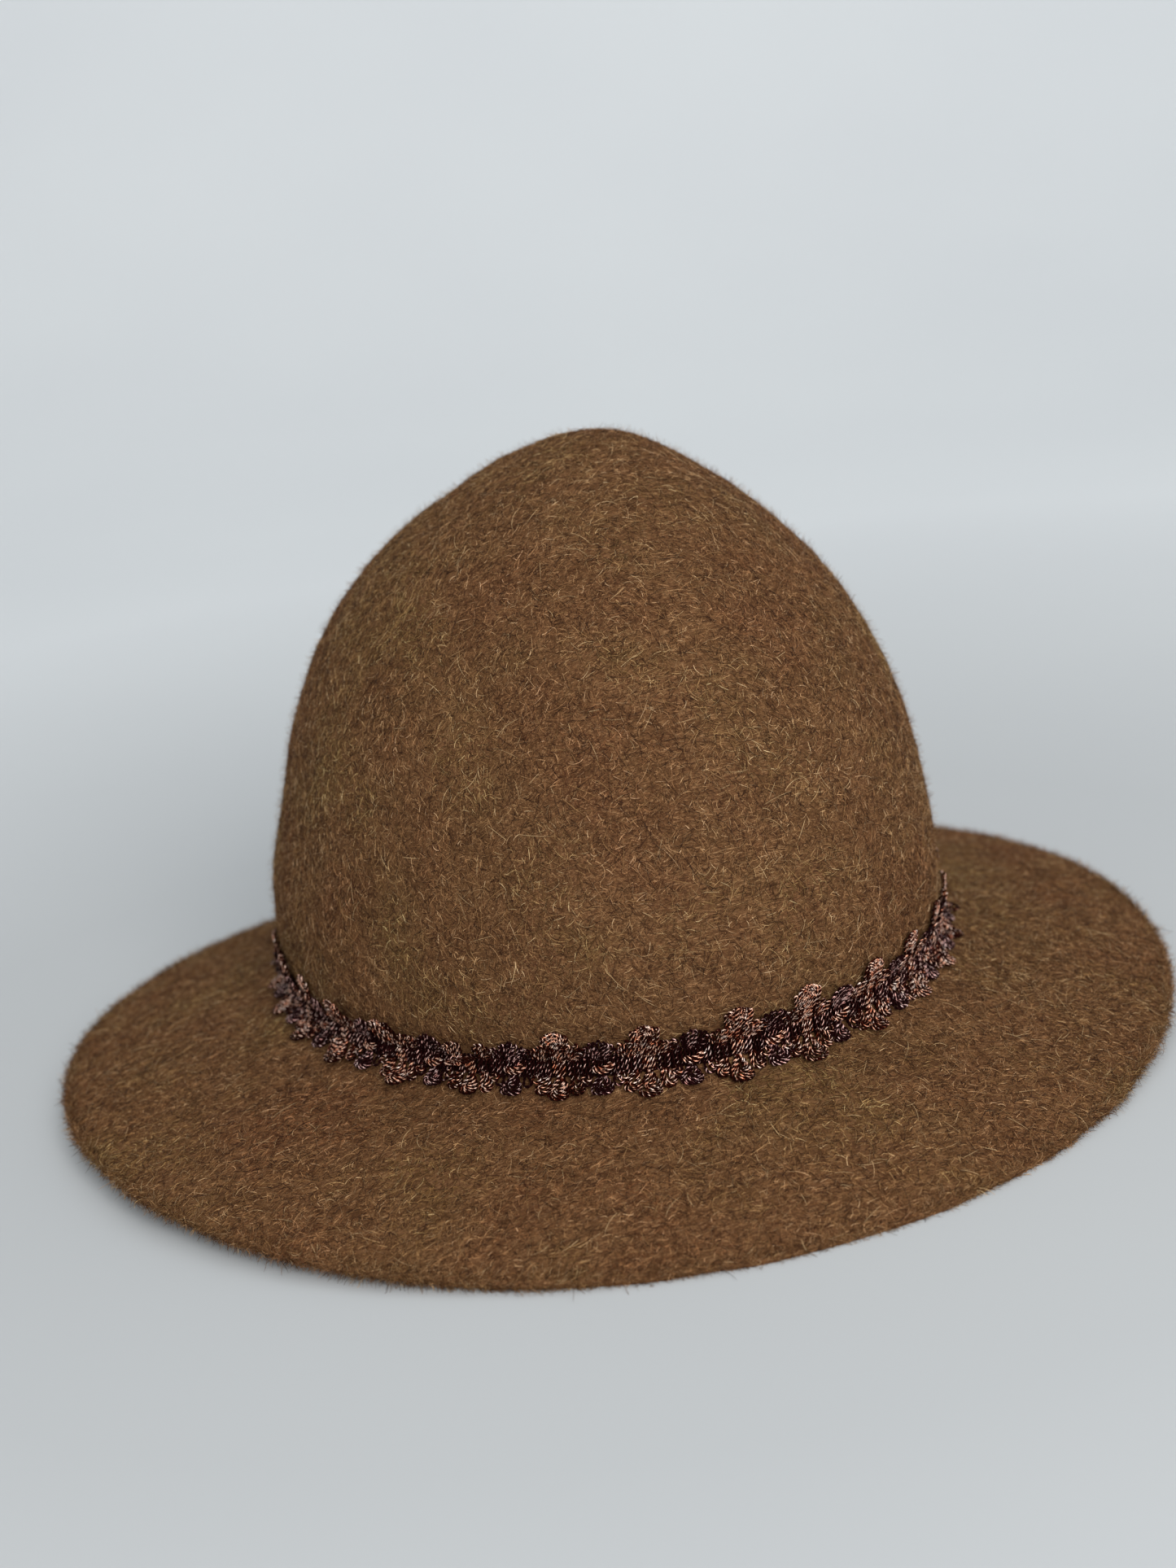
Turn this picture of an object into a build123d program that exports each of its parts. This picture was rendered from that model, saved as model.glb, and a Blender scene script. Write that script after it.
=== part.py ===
from build123d import *
from functools import lru_cache
from itertools import pairwise
import math
import os

import numpy as np

# Tall-crowned wool-felt hat with a down-turned raw-edge brim, a flower gimp braid at the headline,
# a leather sweatband and a satin lining.
# +Z is up, -Y is the front of the hat, the origin lies on the resting plane under the centre of
# the brim. All dimensions are in millimetres.
#
# Points are found by an angle round the hat in radians: 0 at +X, BACK at +Y. A depth is measured
# into the felt from its outside, a height from BREAK_Z, and "out" away from the headline oval.
# A strip is a function of the angle and of a share from 0 to 1 across the strip; it gives a point.

# ---------------------------------------------------------------- felt dimensions
FELT = 2.6                      # thickness of the blocked felt
HEAD_HALF_W = 85.0              # outside of the crown wall at the headline, side to side, half
HEAD_HALF_L = 104.0             # the same, front to back, half
BRIM_HALF_W = 146.8             # cut outline of the brim, side to side, half
BRIM_HALF_L = 157.0             # cut outline of the brim, front to back, half
CROWN_X, CROWN_Y = 1.68, -0.30  # crown axis, measured from the centre of the brim
BREAK_Z = 21.4                  # height at which wall and brim would meet without their radius
BREAK_RADIUS = 7.0              # outside radius of the turn from crown wall to brim
BRIM_START_SLOPE = 0.75         # slope of the brim at the break, as a share of its mean slope
EDGE_TOP_Z = 5.8                # mean height of the top of the brim's cut edge
EDGE_WAVE = 4.0                 # sides stand this much above the mean, front and back below it
EDGE_BULGE = 0.35               # how far the cut edge bulges
LEAN_DIR = (0.953, -0.302)      # direction in which the soft tip leans
TABLE_CUT = 20.0                # depth of the block cut away under the hat, and its margin

# crown stations: height above BREAK_Z, size as a share of the headline oval,
# sideways shift of the section along LEAN_DIR
CROWN = [
    (0.0, 1.0000, 0.00),
    (7.0, 1.0000, 0.00),
    (16.0, 1.0150, 0.32),
    (26.0, 1.0120, 0.87),
    (38.0, 0.9930, 1.66),
    (50.0, 0.9645, 2.40),
    (62.0, 0.9290, 2.95),
    (74.0, 0.8825, 3.40),
    (86.0, 0.8200, 3.95),
    (96.0, 0.7480, 4.50),
    (105.0, 0.6655, 5.00),
    (113.0, 0.5780, 5.55),
    (120.0, 0.4830, 6.60),
    (126.0, 0.3790, 8.20),
    (130.5, 0.2890, 9.80),
    (134.0, 0.2060, 11.20),
    (136.3, 0.1400, 11.90),
    (137.8, 0.0800, 12.10),
    (138.4, 0.0350, 12.10),
]
CROWN_HEIGHTS, CROWN_SIZES, CROWN_SHIFTS = zip(*CROWN)
# heights at which the patches of the crown meet
CROWN_LEVELS = (16.0, 38.0, 62.0, 86.0, 105.0, 120.0, 130.5, 136.3, 138.4)
# two shallow dents in the front of the crown:
# direction in degrees, depth, spread in degrees, height, spread in height
DENTS = [(-136.0, 2.0, 17.0, 96.0, 18.0), (-62.0, 1.7, 17.0, 96.0, 18.0)]

BACK = math.pi / 2              # angle of the back of the hat
SECTORS = 8                     # patches round the hat
ROUND_DEGREE = 8                # degree of a patch round the hat
ARC_DEGREE = 5                  # degree of a patch over a quarter turn of a small ring
SKIN_DEGREE = 5                 # degree of a patch up the crown
ANGLE_STEP, HEIGHT_STEP = 0.02, 0.35    # steps used to find the wall's normal
OVAL_STEPS = 7200               # steps used to measure the length of the oval

os.makedirs("parts", exist_ok=True)


def export(piece, name):
    piece.label = name
    export_step(piece, f"parts/{name}.step")


def export_copies(solid, planes, name):
    """One copy of the solid on each plane, exported as one piece."""
    export(Compound(children=[solid.moved(plane.location) for plane in planes]), name)


# ---------------------------------------------------------------- crown wall
def smooth_value(xs, ys, x):
    """Smooth monotone cubic through (xs, ys)."""
    if x <= xs[0]:
        return ys[0]
    if x >= xs[-1]:
        return ys[-1]
    steps = [b - a for a, b in pairwise(xs)]
    rates = [(b - a) / step for (a, b), step in zip(pairwise(ys), steps)]

    def slope(i):
        if i == 0:
            return rates[0]
        if i == len(xs) - 1:
            return rates[-1]
        if rates[i - 1] * rates[i] <= 0:
            return 0.0
        before = 2 * steps[i] + steps[i - 1]
        after = steps[i] + 2 * steps[i - 1]
        return (before + after) / (before / rates[i - 1] + after / rates[i])

    k = max(i for i in range(len(steps)) if xs[i] <= x)
    s = (x - xs[k]) / steps[k]
    return (
        (2 * s**3 - 3 * s**2 + 1) * ys[k]
        + (s**3 - 2 * s**2 + s) * slope(k) * steps[k]
        + (-2 * s**3 + 3 * s**2) * ys[k + 1]
        + (s**3 - s**2) * slope(k + 1) * steps[k]
    )


def oval_normal(angle, half_w=HEAD_HALF_W, half_l=HEAD_HALF_L):
    """Outward unit normal of an oval."""
    x, y = half_l * math.cos(angle), half_w * math.sin(angle)
    length = math.hypot(x, y)
    return x / length, y / length


def dent_depth(angle, height):
    total = 0.0
    for centre, depth, spread, dent_height, height_spread in DENTS:
        away = (math.degrees(angle) - centre + 180.0) % 360.0 - 180.0
        fade = (away / spread) ** 2 + ((height - dent_height) / height_spread) ** 2
        total += depth * math.exp(-fade)
    return total


def wall_point(angle, height):
    """Point on the outside of the crown."""
    size = smooth_value(CROWN_HEIGHTS, CROWN_SIZES, height)
    shift = smooth_value(CROWN_HEIGHTS, CROWN_SHIFTS, height)
    half_w, half_l = HEAD_HALF_W * size, HEAD_HALF_L * size
    normal_x, normal_y = oval_normal(angle, half_w, half_l)
    inset = dent_depth(angle, height)
    return (
        CROWN_X + LEAN_DIR[0] * shift + half_w * math.cos(angle) - inset * normal_x,
        CROWN_Y + LEAN_DIR[1] * shift + half_l * math.sin(angle) - inset * normal_y,
        BREAK_Z + height,
    )


def skin_point(angle, height, depth):
    """Point of the crown wall moved inwards by depth along the wall's true normal."""
    point = wall_point(angle, height)
    if depth == 0:
        return point
    along = np.subtract(
        wall_point(angle + ANGLE_STEP, height), wall_point(angle - ANGLE_STEP, height)
    )
    above = min(CROWN_HEIGHTS[-1], height + HEIGHT_STEP)
    up = np.subtract(wall_point(angle, above), wall_point(angle, height - HEIGHT_STEP))
    normal = np.cross(along, up)
    return tuple(np.array(point) - depth * normal / np.linalg.norm(normal))


# ---------------------------------------------------------------- brim
def brim_ray(angle):
    """Start of the brim's ray on the wall line, and the vector from there to the cut outline."""
    x = CROWN_X + HEAD_HALF_W * math.cos(angle)
    y = CROWN_Y + HEAD_HALF_L * math.sin(angle)
    return x, y, BRIM_HALF_W * math.cos(angle) - x, BRIM_HALF_L * math.sin(angle) - y


def ray_point(angle, distance, z):
    """Point at a distance outwards from the wall line along the brim's ray."""
    x, y, ray_x, ray_y = brim_ray(angle)
    length = math.hypot(ray_x, ray_y)
    return (x + distance * ray_x / length, y + distance * ray_y / length, z)


def brim_profile(angle):
    """Section of the brim: its run, its tilt in radians where the break ends, the height of its
    edge, the distance and height where the break ends, and the height of the break's centre."""
    _, _, ray_x, ray_y = brim_ray(angle)
    run = math.hypot(ray_x, ray_y)
    edge = EDGE_TOP_Z + EDGE_WAVE * math.cos(2 * angle)
    tilt = math.atan(BRIM_START_SLOPE * (BREAK_Z - edge) / run)
    start = BREAK_RADIUS * (1 - math.sin(tilt))
    start_z = BREAK_Z - math.tan(tilt) * start
    return run, tilt, edge, start, start_z, start_z + BREAK_RADIUS * math.cos(tilt)


def brim_point(angle, share, depth):
    """Point of the brim; share runs from 0 at the break to 1 at the cut edge."""
    run, tilt, edge, start, start_z, _ = brim_profile(angle)
    span = run - start
    drop = math.tan(tilt) * span
    rest = start_z - drop - edge
    z = start_z - drop * share - rest * share**2
    slope = -(drop + 2 * rest * share) / span
    cosine = 1 / math.sqrt(1 + slope**2)
    distance = start + span * share + depth * slope * cosine
    return ray_point(angle, distance, z - depth * cosine)


def break_point(angle, share, depth):
    """Point of the break radius; share runs from 0 at the wall to 1 at the brim."""
    _, tilt, _, _, _, centre = brim_profile(angle)
    turn = share * (math.pi / 2 - tilt)
    radius = BREAK_RADIUS + depth
    distance = BREAK_RADIUS - radius * math.cos(turn)
    return ray_point(angle, distance, centre - radius * math.sin(turn))


# ---------------------------------------------------------------- headline oval
def headline_point(angle, out, height):
    """Point at distance out from the headline oval."""
    normal_x, normal_y = oval_normal(angle)
    return (
        CROWN_X + HEAD_HALF_W * math.cos(angle) + out * normal_x,
        CROWN_Y + HEAD_HALF_L * math.sin(angle) + out * normal_y,
        BREAK_Z + height,
    )


def oval_plane(angle, origin, side=1):
    """Plane with x along the oval, y up and z out of the hat (side 1) or into it (side -1)."""
    x, y = oval_normal(angle)
    return Plane(origin=origin, x_dir=(-side * y, side * x, 0), z_dir=(side * x, side * y, 0))


def even_angles(count, grow):
    """Angles of the middles of equal lengths of the oval grown by grow, from the back."""
    step = 2 * math.pi / OVAL_STEPS
    ends = BACK + step * np.arange(OVAL_STEPS + 1)
    middles = ends[:-1] + step / 2
    pieces = step * np.hypot(
        (HEAD_HALF_W + grow) * np.sin(middles), (HEAD_HALF_L + grow) * np.cos(middles)
    )
    lengths = np.concatenate(([0.0], np.cumsum(pieces)))
    wanted = lengths[-1] * (np.arange(count) + 0.5) / count
    return np.interp(wanted, lengths, ends).tolist()


# ---------------------------------------------------------------- strips
def between(start, end, share):
    return tuple(a + (b - a) * share for a, b in zip(start, end))


def flipped(strip):
    return lambda angle, share: strip(angle, 1 - share)


def bridge(first, second, at):
    """Straight strip from one strip to another, at the given share of both."""
    return lambda angle, share: between(first(angle, at), second(angle, at), share)


def rise(depth, low, high, top_z=None):
    """Strip up the crown wall; top_z, if given, levels its upper ring."""

    def strip(angle, share):
        x, y, z = skin_point(angle, low + (high - low) * share, depth)
        return (x, y, top_z if share == 1 and top_z is not None else z)

    return strip


def stacked_rises(depth, levels):
    """Strips up the crown wall between successive levels, each with its degree."""
    return [(rise(depth, low, high), SKIN_DEGREE) for low, high in pairwise(levels)]


def headline_strip(out, low, high, bulge=0.0):
    """Upright strip round the headline oval, bulging outwards at mid height."""
    return lambda angle, share: headline_point(
        angle, out + bulge * 4 * share * (1 - share), low + (high - low) * share
    )


def ring_arc(centre_line, radius, start, end):
    """Strip round a centre line, in degrees: 0 points out of the hat, 90 points down."""

    def strip(angle, share):
        turn = math.radians(start + (end - start) * share)
        x, y, z = centre_line(angle)
        normal_x, normal_y = oval_normal(angle)
        out = radius * math.cos(turn)
        return (x + out * normal_x, y + out * normal_y, z - radius * math.sin(turn))

    return strip


# ---------------------------------------------------------------- patches and solids
def nodes(degree):
    return [(1 - math.cos(math.pi * i / degree)) / 2 for i in range(degree + 1)]


@lru_cache
def pole_matrix(degree):
    """Matrix that turns points taken at nodes(degree) into Bezier poles."""
    return np.linalg.inv([
        [math.comb(degree, j) * x**j * (1 - x) ** (degree - j) for j in range(degree + 1)]
        for x in nodes(degree)
    ])


def to_poles(points, degree):
    """Bezier poles of the curve through points taken at nodes(degree); the ends stay exact."""
    poles = pole_matrix(degree) @ np.array(points)
    poles[0], poles[-1] = points[0], points[-1]
    return [tuple(pole) for pole in poles.tolist()]


def surface_poles(strip, start, end, round_degree, degree):
    rows = [
        to_poles([strip(start + (end - start) * x, y) for y in nodes(degree)], degree)
        for x in nodes(round_degree)
    ]
    columns = [to_poles(column, round_degree) for column in zip(*rows)]
    return [list(row) for row in zip(*columns)]


def sector_edges(start, end, count=SECTORS):
    return [
        (start + (end - start) * k / count, start + (end - start) * (k + 1) / count)
        for k in range(count)
    ]


def open_at_back(opening):
    """Sectors round the hat that leave an opening of the given width at the back."""
    half_angle = opening / 2 / HEAD_HALF_W
    return sector_edges(BACK + half_angle, BACK + 2 * math.pi - half_angle)


FULL = sector_edges(0.0, 2 * math.pi)


def strip_faces(strips, sectors=FULL):
    """Patches of (strip, degree) pairs, one patch in each sector."""
    return [
        Face.make_bezier_surface(surface_poles(strip, start, end, ROUND_DEGREE, degree))
        for strip, degree in strips
        for start, end in sectors
    ]


def capped_faces(strips):
    """Patches of the strips and a flat lid on the upper ring of the last one."""
    last = strips[-1][0]
    edges = []
    for start, end in FULL:
        ring = [last(start + (end - start) * x, 1) for x in nodes(ROUND_DEGREE)]
        edges.append(Edge.make_bezier(*to_poles(ring, ROUND_DEGREE)))
    return strip_faces(strips) + [Face(Wire(edges))]


def solid_from(faces):
    body = Solid(Shell(faces))
    return body if body.volume > 0 else Solid(Shell([-face for face in faces]))


def tube_solid(centre_line, radius):
    """Closed round tube about a centre line."""
    quarters = [ring_arc(centre_line, radius, 90 * k, 90 * k + 90) for k in range(4)]
    return solid_from(strip_faces([(quarter, ARC_DEGREE) for quarter in quarters]))


def open_band(outer, inner, degree, sectors):
    """Band between two strips, closed by a patch at each of its two ends."""
    faces = strip_faces(
        [
            (outer, degree),
            (bridge(outer, inner, 1), 1),
            (flipped(inner), degree),
            (bridge(inner, outer, 0), 1),
        ],
        sectors,
    )
    for end in (sectors[0][0], sectors[-1][1]):
        lid = lambda across, share: between(outer(end, share), inner(end, share), across)
        faces.append(Face.make_bezier_surface(surface_poles(lid, 0.0, 1.0, 1, degree)))
    return solid_from(faces)


# ---------------------------------------------------------------- felt body, one blocked piece
STITCHES = 24
STITCH_LENGTH = 4.0
STITCH_HEIGHT = 10.3
NEEDLE_RADIUS = 0.40
NEEDLE_DEPTH = 1.7              # depth of the middle of the needle holes

stitch_planes = [oval_plane(a, wall_point(a, STITCH_HEIGHT)) for a in even_angles(STITCHES, 0.0)]
needle_planes = [plane.offset(-NEEDLE_DEPTH) for plane in stitch_planes]
half_stitch = STITCH_LENGTH / 2


def felt_skin(depth):
    """Faces of one side of the felt, from the cut edge up to the tip."""

    def brim(angle, share):
        if share == 1:
            return break_point(angle, 1, depth)
        return brim_point(angle, 1 - share, depth)

    def turn(angle, share):
        return break_point(angle, 1 - share, depth)

    def wall_foot(angle, share):
        if share == 0:
            return break_point(angle, 0, depth)
        low = brim_profile(angle)[-1] - BREAK_Z
        return skin_point(angle, low + (CROWN_LEVELS[0] - low) * share, depth)

    tip = rise(depth, *CROWN_LEVELS[-2:], top_z=BREAK_Z + CROWN_LEVELS[-1] - depth)
    return capped_faces(
        [(brim, 4), (turn, 6), (wall_foot, 6)]
        + stacked_rises(depth, CROWN_LEVELS[:-1])
        + [(tip, 4)]
    )


def cut_edge(angle, share):
    x, y, z = between(brim_point(angle, 1, 0), brim_point(angle, 1, FELT), share)
    grow = 1 + EDGE_BULGE * 4 * share * (1 - share) / math.hypot(x, y)
    return (x * grow, y * grow, z)


with BuildPart() as felt_body:
    add(solid_from(felt_skin(0.0) + strip_faces([(cut_edge, 2)]) + felt_skin(FELT)))
    # the felt lies flat where front and back of the brim touch the table
    with BuildSketch(Plane.XY.offset(-TABLE_CUT)):
        Rectangle(2 * (BRIM_HALF_W + TABLE_CUT), 2 * (BRIM_HALF_L + TABLE_CUT))
    extrude(amount=TABLE_CUT, mode=Mode.SUBTRACT)
    # needle holes along the headline, two for each stitch
    with BuildSketch(*needle_planes):
        with Locations((-half_stitch, 0), (half_stitch, 0)):
            Circle(NEEDLE_RADIUS)
    extrude(amount=FELT, both=True, mode=Mode.SUBTRACT)
export(felt_body.part, "felt_body")

# ---------------------------------------------------------------- braid: foundation strip and patch
BRAID_HEIGHT = 6.4              # height of the braid's centre line
FOUNDATION_W = 4.2              # upright width of the foundation strip
FOUNDATION_THICK = 1.7
FOUNDATION_BULGE = 0.25         # part of the thickness that is the outer face's bulge
FOUNDATION_GAP = 0.45
FOUNDATION_OPENING = 0.8        # the strip's ends stop this far apart at the back
PATCH_LENGTH, PATCH_W, PATCH_THICK = 10.0, 3.4, 0.24
PATCH_LOW, PATCH_GAP = 4.9, 0.12

foundation_low = BRAID_HEIGHT - FOUNDATION_W / 2
foundation_high = BRAID_HEIGHT + FOUNDATION_W / 2
foundation_out = FOUNDATION_GAP + FOUNDATION_THICK
with BuildPart() as braid_foundation:
    add(
        open_band(
            headline_strip(
                foundation_out - FOUNDATION_BULGE,
                foundation_low,
                foundation_high,
                FOUNDATION_BULGE,
            ),
            headline_strip(FOUNDATION_GAP, foundation_low, foundation_high),
            2,
            open_at_back(FOUNDATION_OPENING),
        )
    )
export(braid_foundation.part, "braid_foundation")

# a thin patch behind the joint of the braid
patch_half_angle = PATCH_LENGTH / 2 / HEAD_HALF_W
with BuildPart() as braid_join_patch:
    add(
        open_band(
            headline_strip(PATCH_GAP + PATCH_THICK, PATCH_LOW, PATCH_LOW + PATCH_W),
            headline_strip(PATCH_GAP, PATCH_LOW, PATCH_LOW + PATCH_W),
            1,
            sector_edges(BACK - patch_half_angle, BACK + patch_half_angle, 1),
        )
    )
export(braid_join_patch.part, "braid_join_patch")

# ---------------------------------------------------------------- braid: worked flowers
PERIODS = 30                    # one bronze and one plum motif in each period of the braid
BRAID_GROW = 2.0                # the motifs are spaced evenly on the headline oval grown by this
MOTIF_THICK = 1.3
MOTIF_GAP = 0.08
CORE_H, CORE_Y, CORE_CORNER = 4.6, 0.3, 0.8     # rounded block in the middle of a motif
ROOT_H = 1.6                    # block that joins the lower loops to the hinge
HINGE_Y = -1.5                  # local height at which the lower loops turn outwards
SPLAY = math.radians(50.0)      # the lower loops stand out over the turn of the brim by this
HINGE_CUT_W, HINGE_CUT_H = 6.0, 4.0     # cuts the hinge's disc down to its outer half

hinge_plane = Plane(
    origin=(0, HINGE_Y, 0), x_dir=(1, 0, 0), z_dir=(0, math.sin(SPLAY), math.cos(SPLAY))
)


def worked_motif(core_w, lobe, petal, root_w, loop, side_loops, loop_hole):
    """Motif with x along the oval, y up and z out of the hat.

    lobe, loop and loop_hole are central ellipses: y, half width, half height.
    petal and each of side_loops are mirrored pairs of ellipses: x, y, half width, half height,
    and the tilt of the one at +x in degrees.
    """
    with BuildPart() as motif:
        with BuildSketch(Plane.XY):
            with Locations((0, CORE_Y)):
                RectangleRounded(core_w, CORE_H, CORE_CORNER)
            with Locations((0, lobe[0])):
                Ellipse(*lobe[1:])
            x, y, half_w, half_h, tilt = petal
            for side in (-1, 1):
                with Locations(Location((side * x, y, 0), side * tilt)):
                    Ellipse(half_w, half_h)
        extrude(amount=MOTIF_THICK)
        with BuildSketch(hinge_plane):
            with Locations((0, -ROOT_H / 2)):
                Rectangle(root_w, ROOT_H)
            with Locations((0, loop[0])):
                Ellipse(*loop[1:])
            for x, y, half_w, half_h, tilt in side_loops:
                for side in (-1, 1):
                    with Locations(Location((side * x, y, 0), side * tilt)):
                        Ellipse(half_w, half_h)
            with Locations((0, loop_hole[0])):
                Ellipse(*loop_hole[1:], mode=Mode.SUBTRACT)
        extrude(amount=MOTIF_THICK)
        # the two halves share the turn without a sharp corner
        with BuildSketch(Plane.YZ):
            with Locations((HINGE_Y, 0)):
                Circle(MOTIF_THICK)
            with Locations((HINGE_Y, -HINGE_CUT_H / 2)):
                Rectangle(HINGE_CUT_W, HINGE_CUT_H, mode=Mode.SUBTRACT)
        extrude(amount=root_w / 2, both=True)
    return motif.part.solid()


# a broad fan above, a long open loop below with a small loop on each side
bronze_flower = worked_motif(
    core_w=4.6,
    lobe=(4.9, 2.5, 3.0),
    petal=(2.9, 3.4, 1.45, 2.4, -32.0),
    root_w=4.2,
    loop=(-3.6, 2.2, 3.3),
    side_loops=[(2.7, -2.2, 1.25, 2.0, 28.0)],
    loop_hole=(-4.2, 0.75, 1.5),
)
# a round lobe above, a short open loop below
plum_flower = worked_motif(
    core_w=4.0,
    lobe=(3.7, 2.0, 2.3),
    petal=(2.3, 2.6, 1.1, 1.6, -35.0),
    root_w=3.4,
    loop=(-2.7, 1.8, 2.5),
    side_loops=[],
    loop_hole=(-3.1, 0.6, 1.1),
)
motif_planes = [
    oval_plane(angle, headline_point(angle, foundation_out + MOTIF_GAP, BRAID_HEIGHT))
    for angle in even_angles(2 * PERIODS, BRAID_GROW)
]
export_copies(bronze_flower, motif_planes[0::2], "braid_bronze_motifs")
export_copies(plum_flower, motif_planes[1::2], "braid_plum_motifs")

# ---------------------------------------------------------------- sweatband leather
SWEAT_THICK, SWEAT_LOW, SWEAT_HIGH = 1.1, -0.95, 33.0
SWEAT_GAP = 1.45                # space between felt and leather
SWEAT_OPENING = 3.0             # the two ends of the leather stop this far apart at the back

with BuildPart() as sweatband_leather:
    add(
        open_band(
            rise(FELT + SWEAT_GAP, SWEAT_LOW, SWEAT_HIGH),
            rise(FELT + SWEAT_GAP + SWEAT_THICK, SWEAT_LOW, SWEAT_HIGH),
            9,
            open_at_back(SWEAT_OPENING),
        )
    )
export(sweatband_leather.part, "sweatband_leather")

# ---------------------------------------------------------------- reed and its tape
TAPE_THICK, TAPE_HIGH = 0.35, 12.0
TAPE_GAP = 0.15                 # space between felt and tape
TAPE_DEGREE = 8
REED_RADIUS, REED_HEIGHT = 0.9, -2.1
REED_GAP = 0.15                 # space between reed and tape

tape_inner_radius = REED_RADIUS + REED_GAP
tape_outer_radius = tape_inner_radius + TAPE_THICK
tape_depth = FELT + TAPE_GAP


def reed_line(angle):
    return headline_point(angle, -(tape_depth + tape_outer_radius), REED_HEIGHT)


with BuildPart() as sweatband_reed:
    add(tube_solid(reed_line, REED_RADIUS))
export(sweatband_reed.part, "sweatband_reed")


def tape_wall(depth, radius):
    """Strip of the tape from its turn round the reed up the felt."""
    arc = ring_arc(reed_line, radius, 0, 90)
    wall = rise(depth, REED_HEIGHT, TAPE_HIGH)
    return lambda angle, share: arc(angle, 0) if share == 0 else wall(angle, share)


tape_back = tape_wall(tape_depth, tape_outer_radius)
tape_front = tape_wall(tape_depth + TAPE_THICK, tape_inner_radius)
outer_arcs, inner_arcs = [
    [ring_arc(reed_line, radius, start, start + 90) for start in (0, 90)]
    for radius in (tape_outer_radius, tape_inner_radius)
]
with BuildPart() as sweatband_reed_tape:
    add(
        solid_from(
            strip_faces([
                (flipped(tape_back), TAPE_DEGREE),
                (outer_arcs[0], ARC_DEGREE),
                (outer_arcs[1], ARC_DEGREE),
                (bridge(outer_arcs[1], inner_arcs[1], 1), 1),
                (flipped(inner_arcs[1]), ARC_DEGREE),
                (flipped(inner_arcs[0]), ARC_DEGREE),
                (tape_front, TAPE_DEGREE),
                (bridge(tape_front, tape_back, 1), 1),
            ])
        )
    )
    with BuildSketch(*needle_planes):
        with Locations((-half_stitch, 0), (half_stitch, 0)):
            Circle(NEEDLE_RADIUS)
    extrude(amount=FELT, both=True, mode=Mode.SUBTRACT)
export(sweatband_reed_tape.part, "sweatband_reed_tape")

# ---------------------------------------------------------------- stitches through felt and tape
THREAD_RADIUS = 0.28
THREAD_CORNER = 0.45            # radius of the thread's centre line at its corners
THREAD_OUT_GAP, THREAD_IN_GAP = 0.12, 0.16      # space to the felt outside, to the tape inside

stitch_out = THREAD_OUT_GAP + THREAD_RADIUS
stitch_in = -(tape_depth + TAPE_THICK + THREAD_IN_GAP + THREAD_RADIUS)
# each stitch is a closed link of thread: x along the oval, z out of the hat
with BuildPart() as stitch:
    with BuildLine(Plane.XZ) as link:
        FilletPolyline(
            (-half_stitch, stitch_in),
            (half_stitch, stitch_in),
            (half_stitch, stitch_out),
            (-half_stitch, stitch_out),
            radius=THREAD_CORNER,
            close=True,
        )
    with BuildSketch(Plane(origin=(0, 0, stitch_in), x_dir=(0, 1, 0), z_dir=(1, 0, 0))):
        Circle(THREAD_RADIUS)
    sweep(path=link.wires()[0])
export_copies(stitch.part.solid(), stitch_planes, "sweatband_stitches")

# ---------------------------------------------------------------- bow over the leather's opening
BOW_HEIGHT = 15.0
BOW_GAP = 0.35                  # space between leather and bow plane
RIBBON_W, RIBBON_THICK = 5.0, 0.45
LOOP_X, LOOP_HALF_W, LOOP_HALF_T = 6.6, 6.0, 2.0
LOOP_OFF = 2.4                  # distance of the loops' centres from the bow plane
BOW_MIDDLE_W = 3.0              # flat part of the ribbon between the loops
TAIL_LEAN, TAIL_LENGTH = 24.0, 16.0
TAIL_W = RIBBON_W - 0.8
NOTCH_SIZE, NOTCH_Y = 2.7, -16.6        # square, set on its corner, cut from the end of a tail
KNOT_W, KNOT_H, KNOT_THICK = 2.2, 5.8, 1.0
KNOT_CORNER, KNOT_ROUND = 0.9, 0.5
KNOT_OFF = 3.25                 # distance of the knot's underside from the bow plane

bow_out = -(FELT + SWEAT_GAP + SWEAT_THICK + BOW_GAP)
bow_plane = oval_plane(BACK, headline_point(BACK, bow_out, BOW_HEIGHT), side=-1)
# here x runs along the oval and y points back into the felt, so the bow is drawn towards -y
across = Plane(origin=bow_plane.origin, x_dir=bow_plane.x_dir, z_dir=bow_plane.y_dir)
with BuildPart() as sweatband_bow_ribbon:
    with BuildSketch(across.offset(-RIBBON_W / 2)):
        with Locations((-LOOP_X, -LOOP_OFF), (LOOP_X, -LOOP_OFF)):
            Ellipse(LOOP_HALF_W, LOOP_HALF_T)
            Ellipse(LOOP_HALF_W - RIBBON_THICK, LOOP_HALF_T - RIBBON_THICK, mode=Mode.SUBTRACT)
        with Locations((0, -LOOP_OFF)):
            Rectangle(BOW_MIDDLE_W, 2 * RIBBON_THICK)
    extrude(amount=RIBBON_W)
    for lean in (-TAIL_LEAN, TAIL_LEAN):
        with BuildSketch(bow_plane.offset(LOOP_OFF - RIBBON_THICK)):
            with Locations(Location((0, 0, 0), lean)):
                with Locations((0, -TAIL_LENGTH / 2)):
                    Rectangle(TAIL_W, TAIL_LENGTH)
                with Locations(Location((0, NOTCH_Y, 0), 45.0)):
                    Rectangle(NOTCH_SIZE, NOTCH_SIZE, mode=Mode.SUBTRACT)
        extrude(amount=RIBBON_THICK)
export(sweatband_bow_ribbon.part, "sweatband_bow_ribbon")

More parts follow.
